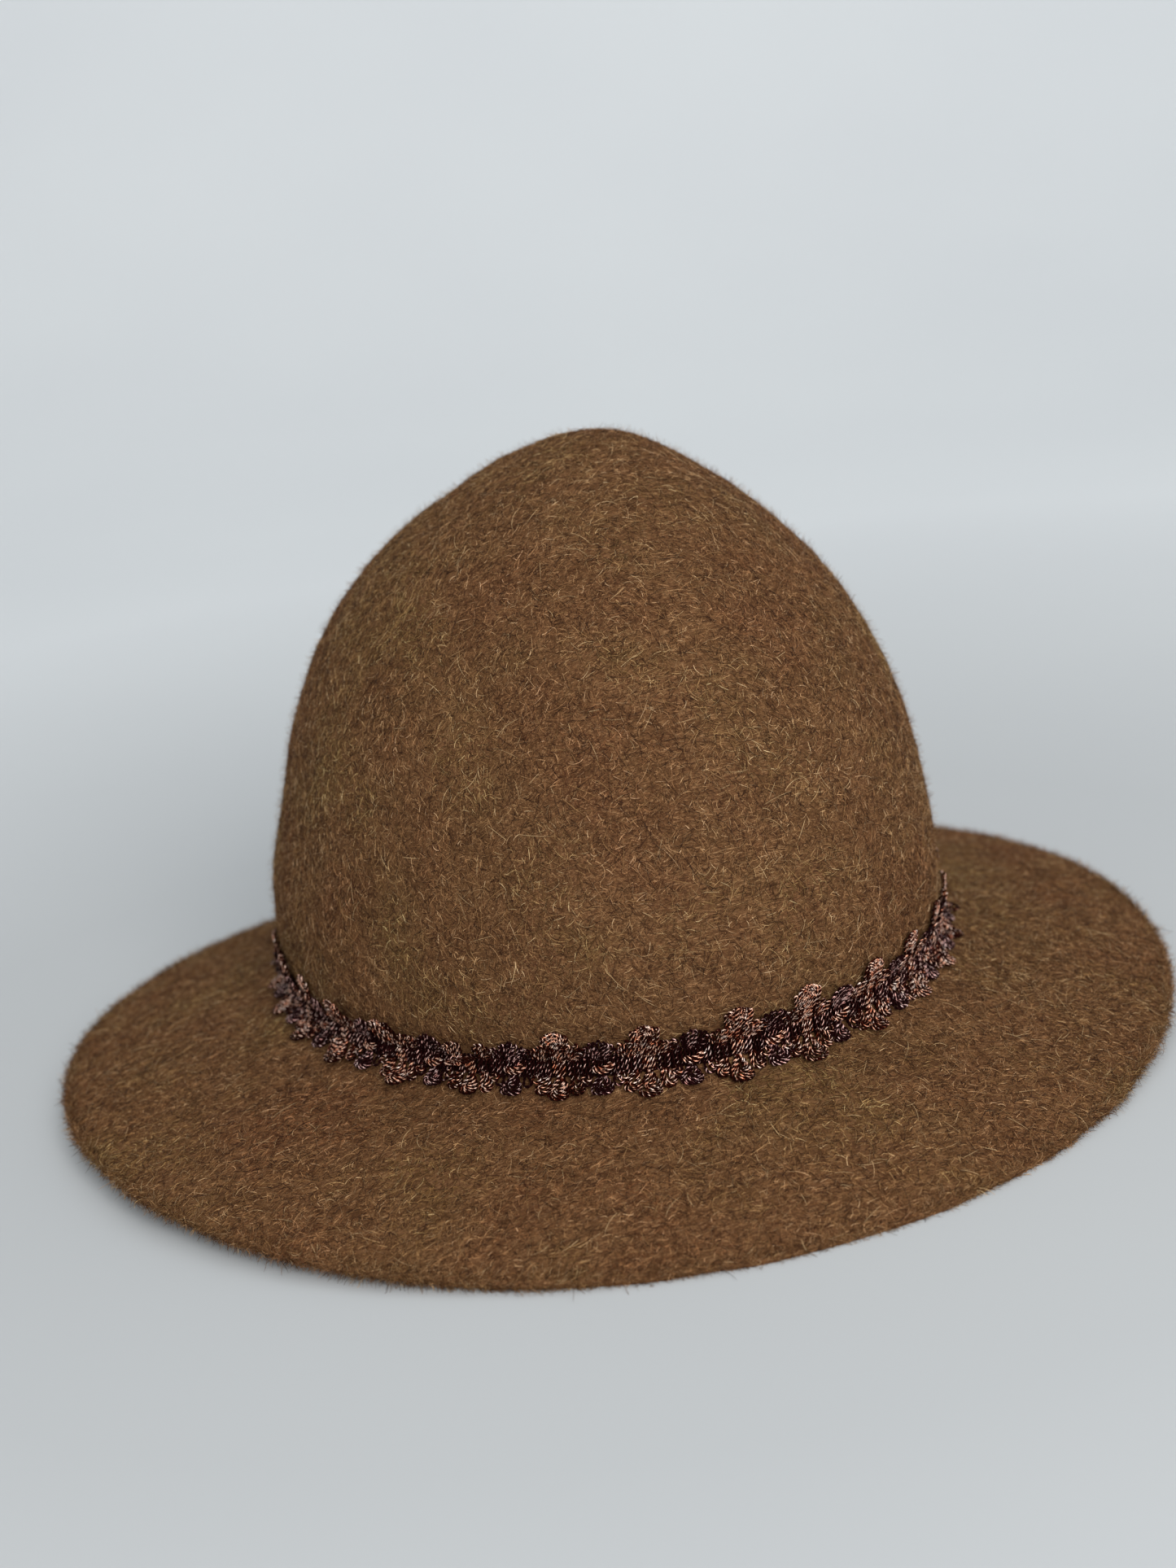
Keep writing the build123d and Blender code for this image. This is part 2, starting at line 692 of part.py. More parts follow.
with BuildPart() as sweatband_bow_knot:
    with BuildSketch(bow_plane.offset(KNOT_OFF)):
        RectangleRounded(KNOT_W, KNOT_H, KNOT_CORNER)
    extrude(amount=KNOT_THICK)
    # round the rim of the face that looks into the hat
    fillet(sweatband_bow_knot.faces().sort_by(Axis.Y)[0].edges(), radius=KNOT_ROUND)
export(sweatband_bow_knot.part, "sweatband_bow_knot")

# ---------------------------------------------------------------- satin lining
LINING_THICK, LINING_GAP = 0.35, 0.15
SIDE_LEVELS = (12.6, 38.0, 62.0, 92.0)  # heights at which the courses of the side wall meet
TIP_LEVELS = (86.0, 105.0, 120.0, 130.5)
LAP_GAP = 0.15                  # space between side and tip where they lap
TIP_DROP = 2.0                  # the flat top of the tip lies this much lower than its last level
SEAM_RADIUS, SEAM_GAP = 0.2, 0.08
SEAM_DROP = 1.0                 # the seam's thread lies this far under the tip's lower rim

tip_gap = LINING_GAP + LINING_THICK + LAP_GAP


def tip_strips(gap):
    """Strips of the lining's tip at a gap inside the felt."""
    top_z = BREAK_Z + TIP_LEVELS[-1] - TIP_DROP - gap
    top = rise(FELT + gap, *TIP_LEVELS[-2:], top_z=top_z)
    return stacked_rises(FELT + gap, TIP_LEVELS[:-1]) + [(top, SKIN_DEGREE)]


def seam_line(angle):
    depth = FELT + tip_gap + SEAM_RADIUS + SEAM_GAP
    return skin_point(angle, TIP_LEVELS[0] - SEAM_DROP, depth)


side_outer = stacked_rises(FELT + LINING_GAP, SIDE_LEVELS)
side_inner = stacked_rises(FELT + LINING_GAP + LINING_THICK, SIDE_LEVELS)
side_rims = [
    (bridge(side_outer[0][0], side_inner[0][0], 0), 1),
    (bridge(side_outer[-1][0], side_inner[-1][0], 1), 1),
]
with BuildPart() as lining_side:
    add(solid_from(strip_faces(side_outer + side_inner + side_rims)))
export(lining_side.part, "lining_side")

tip_outer = tip_strips(tip_gap)
tip_inner = tip_strips(tip_gap + LINING_THICK)
tip_rim = (bridge(tip_outer[0][0], tip_inner[0][0], 0), 1)
with BuildPart() as lining_tip:
    add(solid_from(capped_faces(tip_outer) + capped_faces(tip_inner) + strip_faces([tip_rim])))
export(lining_tip.part, "lining_tip")

# thread of the seam that joins side and tip
with BuildPart() as lining_seam_thread:
    add(tube_solid(seam_line, SEAM_RADIUS))
export(lining_seam_thread.part, "lining_seam_thread")
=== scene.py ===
"""A brown wool felt hat with a gimp braid round the crown, a sweatband and a satin lining.

The hat stands on z = 0. x runs across the head and y along it, with the front at -y and the
back at +y. Shapes are worked out in mm and scaled to metres as each mesh is made; lengths in
materials, lights and the stage are in metres. Angles run round the head from +x towards +y.
"""

import bpy
import numpy as np
from mathutils import Matrix, Vector
from numpy import cos, pi, radians, sin


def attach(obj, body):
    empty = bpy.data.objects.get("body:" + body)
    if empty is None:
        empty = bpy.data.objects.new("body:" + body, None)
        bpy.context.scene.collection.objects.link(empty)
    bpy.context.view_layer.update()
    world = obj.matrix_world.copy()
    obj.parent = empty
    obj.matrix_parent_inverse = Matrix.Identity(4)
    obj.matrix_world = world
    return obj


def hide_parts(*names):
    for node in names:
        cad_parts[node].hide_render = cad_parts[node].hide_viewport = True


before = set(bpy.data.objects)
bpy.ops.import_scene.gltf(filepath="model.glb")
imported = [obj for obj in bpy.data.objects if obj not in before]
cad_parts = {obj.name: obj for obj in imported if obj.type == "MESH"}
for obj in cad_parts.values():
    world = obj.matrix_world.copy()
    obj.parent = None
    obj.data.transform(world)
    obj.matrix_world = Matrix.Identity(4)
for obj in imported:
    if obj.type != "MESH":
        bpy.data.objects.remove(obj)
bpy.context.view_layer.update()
MM = 0.001

# ------------------------------------------------------------------ driving dimensions, mm
FELT = 2.6
HEAD_HALF_W, HEAD_HALF_L = 85.0, 104.0
BRIM_HALF_W, BRIM_HALF_L = 146.8, 157.0
MEAN_R = 94.0  # round figure for the head's radius, to turn angles into lengths
CROWN_X, CROWN_Y = 1.68, -0.30  # middle of the crown
BREAK_Z, BREAK_R = 21.4, 7.0  # where the crown turns into the brim
EDGE_TOP_Z, EDGE_WAVE = 5.8, 4.0
LEAN_DIR = (0.953, -0.302)  # the way the crown leans
# height above BREAK_Z, size as a share of the head oval, shift along LEAN_DIR
CROWN = [
    (0.0, 1.0000, 0.00), (7.0, 1.0000, 0.00), (16.0, 1.0150, 0.32), (26.0, 1.0120, 0.87),
    (38.0, 0.9930, 1.66), (50.0, 0.9645, 2.40), (62.0, 0.9290, 2.95), (74.0, 0.8825, 3.40),
    (86.0, 0.8200, 3.95), (96.0, 0.7480, 4.50), (105.0, 0.6655, 5.00), (113.0, 0.5780, 5.55),
    (120.0, 0.4830, 6.60), (126.0, 0.3790, 8.20), (130.5, 0.2890, 9.80), (134.0, 0.2060, 11.20),
    (136.3, 0.1400, 11.90), (137.8, 0.0800, 12.10), (138.4, 0.0350, 12.10),
]
TIP_H = CROWN[-1][0]
# the two front dents: angle, depth, spread in degrees, height, spread in height
DENTS = [(-136.0, 2.0, 17.0, 96.0, 18.0), (-62.0, 1.7, 17.0, 96.0, 18.0)]
BRAID_H = 6.4  # middle of the braid above BREAK_Z
BACK = pi / 2


# ------------------------------------------------------------------ surfaces of the hat
def unit(vectors):
    return vectors / np.maximum(np.linalg.norm(vectors, axis=-1, keepdims=True), 1e-12)


def smooth(x, start, end):
    x = np.clip((np.asarray(x, float) - start) / (end - start), 0, 1)
    return x * x * (3 - 2 * x)


def monotone(xs, ys):
    """Cubic curve through the points that never overshoots them."""
    xs, ys = np.array(xs, float), np.array(ys, float)
    gaps = np.diff(xs)
    rises = np.diff(ys) / gaps
    slopes = np.zeros(len(xs))
    slopes[0], slopes[-1] = rises[0], rises[-1]
    for i in range(1, len(xs) - 1):
        if rises[i - 1] * rises[i] > 0:
            before, after = 2 * gaps[i] + gaps[i - 1], gaps[i] + 2 * gaps[i - 1]
            slopes[i] = (before + after) / (before / rises[i - 1] + after / rises[i])

    def curve(x):
        x = np.clip(np.asarray(x, float), xs[0], xs[-1])
        k = np.clip(np.searchsorted(xs, x, side="right") - 1, 0, len(xs) - 2)
        s = (x - xs[k]) / gaps[k]
        return (
            (2 * s**3 - 3 * s**2 + 1) * ys[k]
            + (s**3 - 2 * s**2 + s) * slopes[k] * gaps[k]
            + (-2 * s**3 + 3 * s**2) * ys[k + 1]
            + (s**3 - s**2) * slopes[k + 1] * gaps[k]
        )

    return curve


crown_h, crown_size, crown_shift = zip(*CROWN)
size_at, shift_at = monotone(crown_h, crown_size), monotone(crown_h, crown_shift)


def wall(angle, height):
    """Outside of the crown at a height above BREAK_Z."""
    angle, height = np.broadcast_arrays(np.asarray(angle, float), np.asarray(height, float))
    size, shift = size_at(height), shift_at(height)
    half_w, half_l = HEAD_HALF_W * size, HEAD_HALF_L * size
    normal_x, normal_y = half_l * cos(angle), half_w * sin(angle)
    length = np.hypot(normal_x, normal_y)
    inset = np.zeros_like(angle)
    for centre, depth, spread, level, rise in DENTS:
        away = (np.degrees(angle) - centre + 180.0) % 360.0 - 180.0
        inset += depth * np.exp(-((away / spread) ** 2) - ((height - level) / rise) ** 2)
    x = CROWN_X + LEAN_DIR[0] * shift + half_w * cos(angle) - inset * normal_x / length
    y = CROWN_Y + LEAN_DIR[1] * shift + half_l * sin(angle) - inset * normal_y / length
    return np.stack([x, y, BREAK_Z + height], -1)


def skin(angle, height, depth):
    """Crown wall moved inwards by depth along its normal."""
    along = wall(angle + 0.02, height) - wall(angle - 0.02, height)
    up = wall(angle, np.minimum(height + 0.35, TIP_H)) - wall(angle, height - 0.35)
    inwards = -unit(np.cross(along, up))
    return wall(angle, height) + np.asarray(depth, float)[..., None] * inwards


def oval_to_edge(angle):
    """Point of the head oval, and the step from it to the edge of the brim."""
    x, y = CROWN_X + HEAD_HALF_W * cos(angle), CROWN_Y + HEAD_HALF_L * sin(angle)
    return x, y, BRIM_HALF_W * cos(angle) - x, BRIM_HALF_L * sin(angle) - y


def place(angle, out, z):
    """Point at a distance out from the head oval, towards the edge of the brim."""
    x, y, away_x, away_y = oval_to_edge(angle)
    run = np.hypot(away_x, away_y)
    return np.stack(np.broadcast_arrays(x + out * away_x / run, y + out * away_y / run, z), -1)


def oval_normal(angle):
    return unit(np.stack([HEAD_HALF_L * cos(angle), HEAD_HALF_W * sin(angle), 0 * angle], -1))


def head_point(angle, out, height):
    """Point at a distance out from the head oval along its normal."""
    x, y = oval_to_edge(angle)[:2]
    oval = np.stack([x, y, BREAK_Z + height + 0 * angle], -1)
    return oval + np.asarray(out)[..., None] * oval_normal(angle)


def brim_profile(angle):
    """Brim width, first slope, edge height, end of the bend (out, z) and z of its centre."""
    run = np.hypot(*oval_to_edge(angle)[2:])
    edge = EDGE_TOP_Z + EDGE_WAVE * cos(2 * angle)
    start = np.arctan(0.75 * (BREAK_Z - edge) / run)
    out = BREAK_R * (1 - sin(start))
    low = BREAK_Z - np.tan(start) * out
    return run, start, edge, out, low, low + BREAK_R * cos(start)


def brim(angle, share, depth):
    """Brim from the bend (share 0) to the edge (share 1), depth below its upper face."""
    run, start, edge, out, low, _ = brim_profile(angle)
    span = run - out
    rest = low - np.tan(start) * span - edge
    z = low - np.tan(start) * span * share - rest * share * share
    slope = -(np.tan(start) * span + 2 * rest * share) / span
    upright = 1 / np.sqrt(1 + slope * slope)
    return place(angle, out + span * share + depth * slope * upright, z - depth * upright)


def bend(angle, share, depth):
    """Bend between the crown (share 0) and the brim (share 1)."""
    _, start, _, _, _, centre = brim_profile(angle)
    swing = share * (pi / 2 - start)
    radius = BREAK_R + depth
    return place(angle, BREAK_R - radius * cos(swing), centre - radius * sin(swing))


class Waves:
    """Smooth noise made of plane waves."""

    def __init__(self, seed, short, long, count, rms=1.0):
        draw = np.random.default_rng(seed)
        direction = unit(draw.normal(size=(count, 3)))
        lengths = np.exp(draw.uniform(np.log(short), np.log(long), (count, 1)))
        self.vectors = direction * (2 * pi / lengths)
        self.phases = draw.uniform(0, 2 * pi, count)
        self.height = rms * np.sqrt(2.0 / count)

    def __call__(self, points):
        flat = points.reshape(-1, 3)
        total = np.zeros(len(flat))
        for vector, phase in zip(self.vectors, self.phases):
            total += cos(flat @ vector + phase)
        return (self.height * total).reshape(points.shape[:-1])


# ------------------------------------------------------------------ mesh helpers
def new_object(name, verts, faces):
    mesh = bpy.data.meshes.new(name)
    verts = np.asarray(verts, np.float32)
    mesh.vertices.add(len(verts))
    mesh.vertices.foreach_set("co", (verts * MM).astype(np.float32).ravel())
    sizes = np.concatenate([np.full(len(part), part.shape[1], np.int32) for part in faces])
    loops = np.concatenate([part.astype(np.int32).ravel() for part in faces])
    mesh.loops.add(len(loops))
    mesh.loops.foreach_set("vertex_index", loops)
    mesh.polygons.add(len(sizes))
    starts = np.concatenate([[0], np.cumsum(sizes)[:-1]]).astype(np.int32)
    mesh.polygons.foreach_set("loop_start", starts)
    mesh.polygons.foreach_set("loop_total", sizes)
    mesh.update(calc_edges=True)
    mesh.validate()
    mesh.polygons.foreach_set("use_smooth", np.ones(len(mesh.polygons), bool))
    return add_to_scene(name, mesh)


def add_to_scene(name, data):
    ob = bpy.data.objects.new(name, data)
    bpy.context.scene.collection.objects.link(ob)
    return ob


def piece(name, mesh, material, slot, node=None, **values):
    """A part of the hat; values are float attributes of its vertices."""
    ob = new_object(name, *mesh)
    for key, data in values.items():
        attribute = ob.data.attributes.new(key, "FLOAT", "POINT")
        attribute.data.foreach_set("value", np.concatenate(data).astype(np.float32))
    ob.data.materials.append(material)
    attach(ob, "root")
    if node:
        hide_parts(node)
    return ob


def grid_faces(rows, cols, wrap_cols=True, wrap_rows=False, start=0):
    row, col = np.meshgrid(
        np.arange(rows if wrap_rows else rows - 1),
        np.arange(cols if wrap_cols else cols - 1),
        indexing="ij",
    )
    row2, col2 = (row + 1) % rows, (col + 1) % cols
    corners = [row * cols + col, row2 * cols + col, row2 * cols + col2, row * cols + col2]
    return np.stack(corners, -1).reshape(-1, 4) + start


def thick_sheet(middle, thickness, wrap_cols=False):
    """Closed sheet of cloth or leather round its middle surface."""
    rows, cols = middle.shape[:2]
    if wrap_cols:
        along = np.roll(middle, -1, 1) - np.roll(middle, 1, 1)
    else:
        along = np.gradient(middle, axis=1)
    half = unit(np.cross(along, np.gradient(middle, axis=0)))
    half = half * np.broadcast_to(thickness, (rows, cols))[..., None] / 2
    size = rows * cols
    faces = [
        grid_faces(rows, cols, wrap_cols)[:, ::-1],
        grid_faces(rows, cols, wrap_cols, start=size),
    ]
    near = np.arange(cols if wrap_cols else cols - 1)
    far = (near + 1) % cols
    faces.append(np.stack([near, near + size, far + size, far], 1))
    near, far = near + size - cols, far + size - cols
    faces.append(np.stack([near, far, far + size, near + size], 1))
    if not wrap_cols:
        near = np.arange(rows - 1) * cols
        faces.append(np.stack([near, near + cols, near + cols + size, near + size], 1))
        near = near + cols - 1
        faces.append(np.stack([near, near + size, near + cols + size, near + cols], 1))
    return np.concatenate([side.reshape(-1, 3) for side in (middle + half, middle - half)]), faces


def section_axes(tangent, out):
    """Two unit vectors across a path, the second one as near to out as it can be."""
    tangent = unit(tangent)
    across = out - (out * tangent).sum(1, keepdims=True) * tangent
    length = np.linalg.norm(across, axis=1, keepdims=True)
    across = unit(np.where(length > 0.05, across, np.cross(tangent, [0.3, 0.5, 0.81])))
    return np.cross(across, tangent), across


class Strands:
    """Collects thin tubes that become one object."""

    def __init__(self, name):
        self.name, self.count = name, 0
        self.verts, self.quads, self.caps, self.values = [], [], [], {}

    def tube(self, centre, axes, radius, around, closed=False, **values):
        """Tube along centre; around holds the angles of a section's corners."""
        sides = len(around)
        ring = (cos(around)[None, :, None] * axes[0][:, None]
                + sin(around)[None, :, None] * axes[1][:, None])
        ring = centre[:, None] + np.reshape(radius, (-1, 1, 1)) * ring
        self.verts.append(ring.reshape(-1, 3))
        self.quads.append(grid_faces(len(centre), sides, wrap_rows=closed, start=self.count))
        if not closed:
            cap = np.arange(sides) + self.count
            self.caps.append(np.stack([cap[::-1], cap + (len(centre) - 1) * sides]))
        for key, value in values.items():
            value = np.broadcast_to(value, (len(centre), sides)).ravel()
            self.values.setdefault(key, []).append(value)
        self.count += len(centre) * sides

    def build(self, material, slot, node=None):
        faces = [np.concatenate(part) for part in (self.quads, self.caps) if part]
        mesh = (np.concatenate(self.verts), faces)
        piece(self.name, mesh, material, slot, node, **self.values)


# ------------------------------------------------------------------ material helpers
def srgb(*colour):
    """Linear colour from 0..255 display values."""
    return tuple(
        c / 255 / 12.92 if c / 255 <= 0.04045 else ((c / 255 + 0.055) / 1.055) ** 2.4
        for c in colour
    )


def grey(level):
    return (level, level, level)


class Shader:
    """A material and short names for building its node tree."""

    SOCKETS = {
        "base": "Base Color", "rough": "Roughness", "metal": "Metallic",
        "spec": "Specular IOR Level", "tint": "Specular Tint", "sheen": "Sheen Weight",
        "sheen_rough": "Sheen Roughness", "sheen_tint": "Sheen Tint", "normal": "Normal",
        "coat": "Coat Weight", "coat_rough": "Coat Roughness", "aniso": "Anisotropic",
    }

    def __init__(self, name):
        self.material = bpy.data.materials.new(name)
        self.material.use_nodes = True
        self.tree = self.material.node_tree
        self.tree.nodes.clear()
        self.output = self.node("ShaderNodeOutputMaterial")
        self.bsdf = self.node("ShaderNodeBsdfPrincipled")
        self.put(self.output.inputs[0], self.bsdf.outputs[0])

    def node(self, kind, **settings):
        node = self.tree.nodes.new(kind)
        for key, value in settings.items():
            setattr(node, key, value)
        return node

    def put(self, socket, value):
        if isinstance(value, bpy.types.NodeSocket):
            self.tree.links.new(value, socket)
        elif value is not None:
            socket.default_value = (*value, 1.0) if socket.type == "RGBA" else value

    def coords(self):
        return self.node("ShaderNodeTexCoord").outputs["Object"]

    def attribute(self, name):
        return self.node("ShaderNodeAttribute", attribute_name=name).outputs["Fac"]

    def split(self, vector):
        node = self.node("ShaderNodeSeparateXYZ")
        self.put(node.inputs[0], vector)
        return node.outputs

    def join(self, x, y):
        node = self.node("ShaderNodeCombineXYZ")
        self.put(node.inputs[0], x)
        self.put(node.inputs[1], y)
        return node.outputs[0]

    def map(self, vector, scale=(1, 1, 1), rot=(0, 0, 0), loc=(0, 0, 0)):
        node = self.node("ShaderNodeMapping")
        for key, value in zip(("Vector", "Scale", "Rotation", "Location"),
                              (vector, scale, rot, loc)):
            self.put(node.inputs[key], value)
        return node.outputs[0]

    def noise(self, vector, scale, detail=2.0, rough=0.5, distortion=0.0):
        node = self.node("ShaderNodeTexNoise")
        for key, value in zip(("Vector", "Scale", "Detail", "Roughness", "Distortion"),
                              (vector, scale, detail, rough, distortion)):
            self.put(node.inputs[key], value)
        return node.outputs["Fac"]

    def math(self, operation, *values):
        node = self.node("ShaderNodeMath", operation=operation)
        for socket, value in zip(node.inputs, values):
            self.put(socket, value)
        return node.outputs[0]

    def add(self, first, second):
        return self.math("ADD", first, second)

    def times(self, first, second):
        return self.math("MULTIPLY", first, second)

    def centred(self, value, gain):
        """A 0..1 value turned into one round zero."""
        return self.times(self.math("SUBTRACT", value, 0.5), gain)

    def ramp(self, value, *stops):
        """Colour ramp; each stop is a position and a linear colour."""
        node = self.node("ShaderNodeValToRGB")
        elements = node.color_ramp.elements
        while len(elements) < len(stops):
            elements.new(0.5)
        for element, (position, colour) in zip(elements, stops):
            element.position = position
            element.color = (*colour, 1.0)
        self.put(node.inputs[0], value)
        return node.outputs[0]

    def remap(self, value, source, to=(0.0, 1.0)):
        """Value taken from the range source to the range to, and held inside it."""
        node = self.node("ShaderNodeMapRange")
        for i, part in enumerate((value, *source, *to)):
            self.put(node.inputs[i], part)
        return node.outputs[0]

    def mix(self, factor, first, second, blend="MIX"):
        node = self.node("ShaderNodeMix", data_type="RGBA", blend_type=blend)
        for i, value in ((0, factor), (6, first), (7, second)):
            self.put(node.inputs[i], value)
        return node.outputs[2]

    def tinted(self, first, second):
        return self.mix(1.0, first, second, "MULTIPLY")

    def bump(self, height, strength, distance, normal=None):
        node = self.node("ShaderNodeBump")
        for key, value in zip(("Strength", "Distance", "Height", "Normal"),
                              (strength, distance, height, normal)):
            self.put(node.inputs[key], value)
        return node.outputs[0]

    def finish(self, **inputs):
        for key, value in inputs.items():
            self.put(self.bsdf.inputs[self.SOCKETS[key]], value)
        return self.material


# ------------------------------------------------------------------ felt materials
# direction and stretch of the four layers of crossing fibre strokes
STROKES = [
    ((0, 0, 0.3), (260, 2400, 2400)), ((0.2, 0.1, 1.4), (260, 2300, 2500)),
    ((0.3, 1.2, 0.5), (300, 2600, 2300)), ((1.0, 0.4, 2.4), (280, 2500, 2600)),
]


def felt_material():
    mat = Shader("felt_nap_ground")
    co = mat.coords()
    # broad reddish, olive and darker brown patches
    patch = mat.noise(co, scale=28.0, detail=3.0, rough=0.55)
    patch2 = mat.noise(mat.map(co, loc=(3.1, 1.7, 0.4)), scale=55.0)
    base = mat.ramp(
        patch, (0.30, srgb(92, 58, 37)), (0.50, srgb(101, 69, 43)), (0.70, srgb(107, 79, 47)))
    tone = mat.ramp(
        patch2, (0.30, srgb(98, 56, 38)), (0.5, srgb(101, 68, 43)), (0.72, srgb(96, 76, 45)))
    base = mat.mix(0.5, base, tone)
    strokes = None
    for i, (direction, stretch) in enumerate(STROKES):
        layer = mat.map(co, scale=stretch, rot=direction, loc=(i * 1.3, i * 0.7, 0))
        layer = mat.noise(layer, scale=1.0, rough=0.6, distortion=0.4)
        layer = mat.remap(layer, (0.42, 0.72))
        strokes = layer if strokes is None else mat.math("MAXIMUM", strokes, layer)
    grain = mat.noise(co, scale=1500.0, detail=3.0, rough=0.65)
    light = mat.ramp(
        strokes, (0.0, srgb(54, 31, 17)), (0.40, srgb(91, 60, 37)),
        (0.75, srgb(128, 92, 60)), (1.0, srgb(170, 132, 94)))
    colour = mat.mix(0.7, base, light)
    pits = mat.remap(grain, (0.30, 0.62), to=(0.62, 1.12))
    colour = mat.tinted(colour, mat.ramp(pits, (0.0, grey(0)), (1.0, grey(1))))
    fibres = mat.add(mat.times(strokes, 0.7), mat.times(grain, 0.5))
    lumps = mat.noise(co, scale=150.0, detail=4.0, rough=0.6)
    lumps = mat.bump(lumps, strength=0.35, distance=0.0012)
    return mat.finish(
        base=colour, rough=mat.remap(grain, (0.3, 0.7), to=(0.82, 0.98)), spec=0.12,
        sheen=0.16, sheen_rough=0.5, sheen_tint=srgb(176, 124, 78),
        normal=mat.bump(fibres, strength=0.9, distance=0.00022, normal=lumps))


def fibre_material(name, colour):
    mat = Shader(name)
    shade = mat.noise(mat.coords(), scale=240.0)
    darker = tuple(c * 0.72 for c in colour)
    lighter = tuple(min(1, c * 1.25) for c in colour)
    return mat.finish(
        base=mat.ramp(shade, (0.3, darker), (0.7, lighter)),
        rough=mat.remap(shade, (0.3, 0.7), to=(0.55, 0.70)), spec=0.2)


def nap_material():
    mat = Shader("felt_nap_hair")
    info = mat.node("ShaderNodeHairInfo")
    co = mat.coords()
    tone = mat.ramp(
        info.outputs["Random"], (0.00, srgb(38, 19, 9)), (0.14, srgb(57, 32, 17)),
        (0.34, srgb(84, 54, 32)), (0.55, srgb(104, 72, 44)), (0.74, srgb(128, 92, 59)),
        (0.89, srgb(158, 119, 80)), (0.97, srgb(190, 152, 108)), (1.0, srgb(218, 184, 142)))
    tint = mat.ramp(
        mat.noise(co, scale=30.0, detail=3.0, rough=0.55),
        (0.30, (0.92, 0.76, 0.74)), (0.5, grey(1.0)), (0.70, (1.0, 1.14, 0.98)))
    clump = mat.noise(mat.map(co, loc=(0.4, 2.2, 0.9)), scale=420.0, rough=0.6)
    clump = mat.remap(clump, (0.3, 0.7), to=(0.70, 1.28))
    tone = mat.tinted(mat.tinted(tone, tint), clump)
    # painted shade: the brim is painted a shade darker and warmer than the crown, where less light
    # falls on it
    crown = mat.remap(mat.split(co)[2], ((BREAK_Z - 8) * MM, (BREAK_Z + 2) * MM))
    tone = mat.tinted(tone, mat.ramp(crown, (0.0, (0.94, 0.88, 0.83)), (1.0, grey(1.0))))
    return mat.finish(base=tone, rough=0.65, spec=0.12)


def halo_material():
    """Loose hair ends, thin enough to let light through, so they show pale against it."""
    mat = Shader("felt_halo_hair")
    info = mat.node("ShaderNodeHairInfo")
    tone = mat.ramp(
        info.outputs["Random"], (0.00, srgb(84, 55, 33)), (0.35, srgb(118, 84, 53)),
        (0.70, srgb(158, 121, 83)), (1.0, srgb(214, 182, 144)))
    patch = mat.noise(mat.coords(), scale=30.0, detail=3.0, rough=0.55)
    tone = mat.tinted(
        tone, mat.ramp(patch, (0.30, (0.94, 0.86, 0.84)), (0.70, (1.0, 1.08, 0.98))))
    mat.finish(base=tone, rough=0.7, spec=0.1)
    through = mat.node("ShaderNodeBsdfTranslucent")
    mat.put(through.inputs["Color"], tone)
    both = mat.node("ShaderNodeMixShader")
    both.inputs[0].default_value = 0.55  # share of light that passes through
    mat.put(both.inputs[1], mat.bsdf.outputs[0])
    mat.put(both.inputs[2], through.outputs[0])
    mat.put(mat.output.inputs[0], both.outputs[0])
    return mat.material


# ------------------------------------------------------------------ felt body
COLS = 360
felt_angles = np.linspace(0, 2 * pi, COLS, endpoint=False)
break_h = brim_profile(felt_angles)[-1] - BREAK_Z  # height at which the bend begins
lumps = Waves(11, short=26, long=90, count=36, rms=0.28)
fine_lumps = Waves(12, short=7, long=20, count=40, rms=0.07)
edge_waves = Waves(13, short=9, long=60, count=30)


def crown_heights(count):
    """Heights round the crown from the tip to the bend, even along the profile."""
    fine = np.linspace(0, TIP_H, 3000)
    steps = np.hypot(np.diff(fine), MEAN_R * np.diff(size_at(fine)))
    arc = np.concatenate([[0], np.cumsum(steps)])
    lowest = 6.0
    rows = np.interp(np.linspace(arc[-1], np.interp(lowest, fine, arc), count), arc, fine)
    shares = (TIP_H - rows) / (TIP_H - lowest)
    return [TIP_H - (TIP_H - break_h) * share for share in shares]


def grid_normals(grid):
    along = np.roll(grid, -1, 1) - np.roll(grid, 1, 1)
    down = np.empty_like(grid)
    down[1:-1] = grid[2:] - grid[:-2]
    down[0], down[-1] = grid[1] - grid[0], grid[-1] - grid[-2]
    return unit(np.cross(down, along))


outer = np.array(
    [wall(felt_angles, height) for height in crown_heights(120)]
    + [bend(felt_angles, share, 0.0) for share in np.linspace(0, 1, 14)[1:]]
    + [brim(felt_angles, share, 0.0) for share in np.linspace(0, 1, 44)[1:]]
)
TOP_ROWS = len(outer)
fade = np.ones(TOP_ROWS)
fade[-44:] = np.linspace(1, 0.55, 44)  # the lumps grow weaker towards the edge
swell = (lumps(outer) + fine_lumps(outer)) * fade[:, None]
outer = outer + grid_normals(outer) * swell[..., None]

# the raw cut edge: a slightly uneven line, rounded at both corners
top_edge = outer[-1]
low_edge = brim(felt_angles, 1.0, FELT) + (top_edge - brim(felt_angles, 1.0, 0.0))
edge_out = unit(top_edge * np.array([1, 1, 0]))
edge_wobble = 0.35 * edge_waves(top_edge)
edge_rows = []
for share in np.linspace(0, 1, 9)[1:-1]:
    off_middle = abs(2 * share - 1)
    bulge = 0.75 * (1 - off_middle**3.2) + edge_wobble * (1 - off_middle)
    edge_rows.append(top_edge + (low_edge - top_edge) * share + edge_out * bulge[:, None])

under = np.array(
    [brim(felt_angles, share, FELT) for share in np.linspace(1, 0, 26)]
    + [bend(felt_angles, share, FELT) for share in np.linspace(1, 0, 9)[1:]]
    + [skin(felt_angles, height, FELT) for height in crown_heights(44)[::-1][1:]]
)
under += grid_normals(under) * (fine_lumps(under) * 1.2)[..., None]
felt_grid = np.concatenate([outer, np.array(edge_rows), under])
felt_grid[TOP_ROWS:, :, 2] = np.maximum(felt_grid[TOP_ROWS:, :, 2], 0.0)


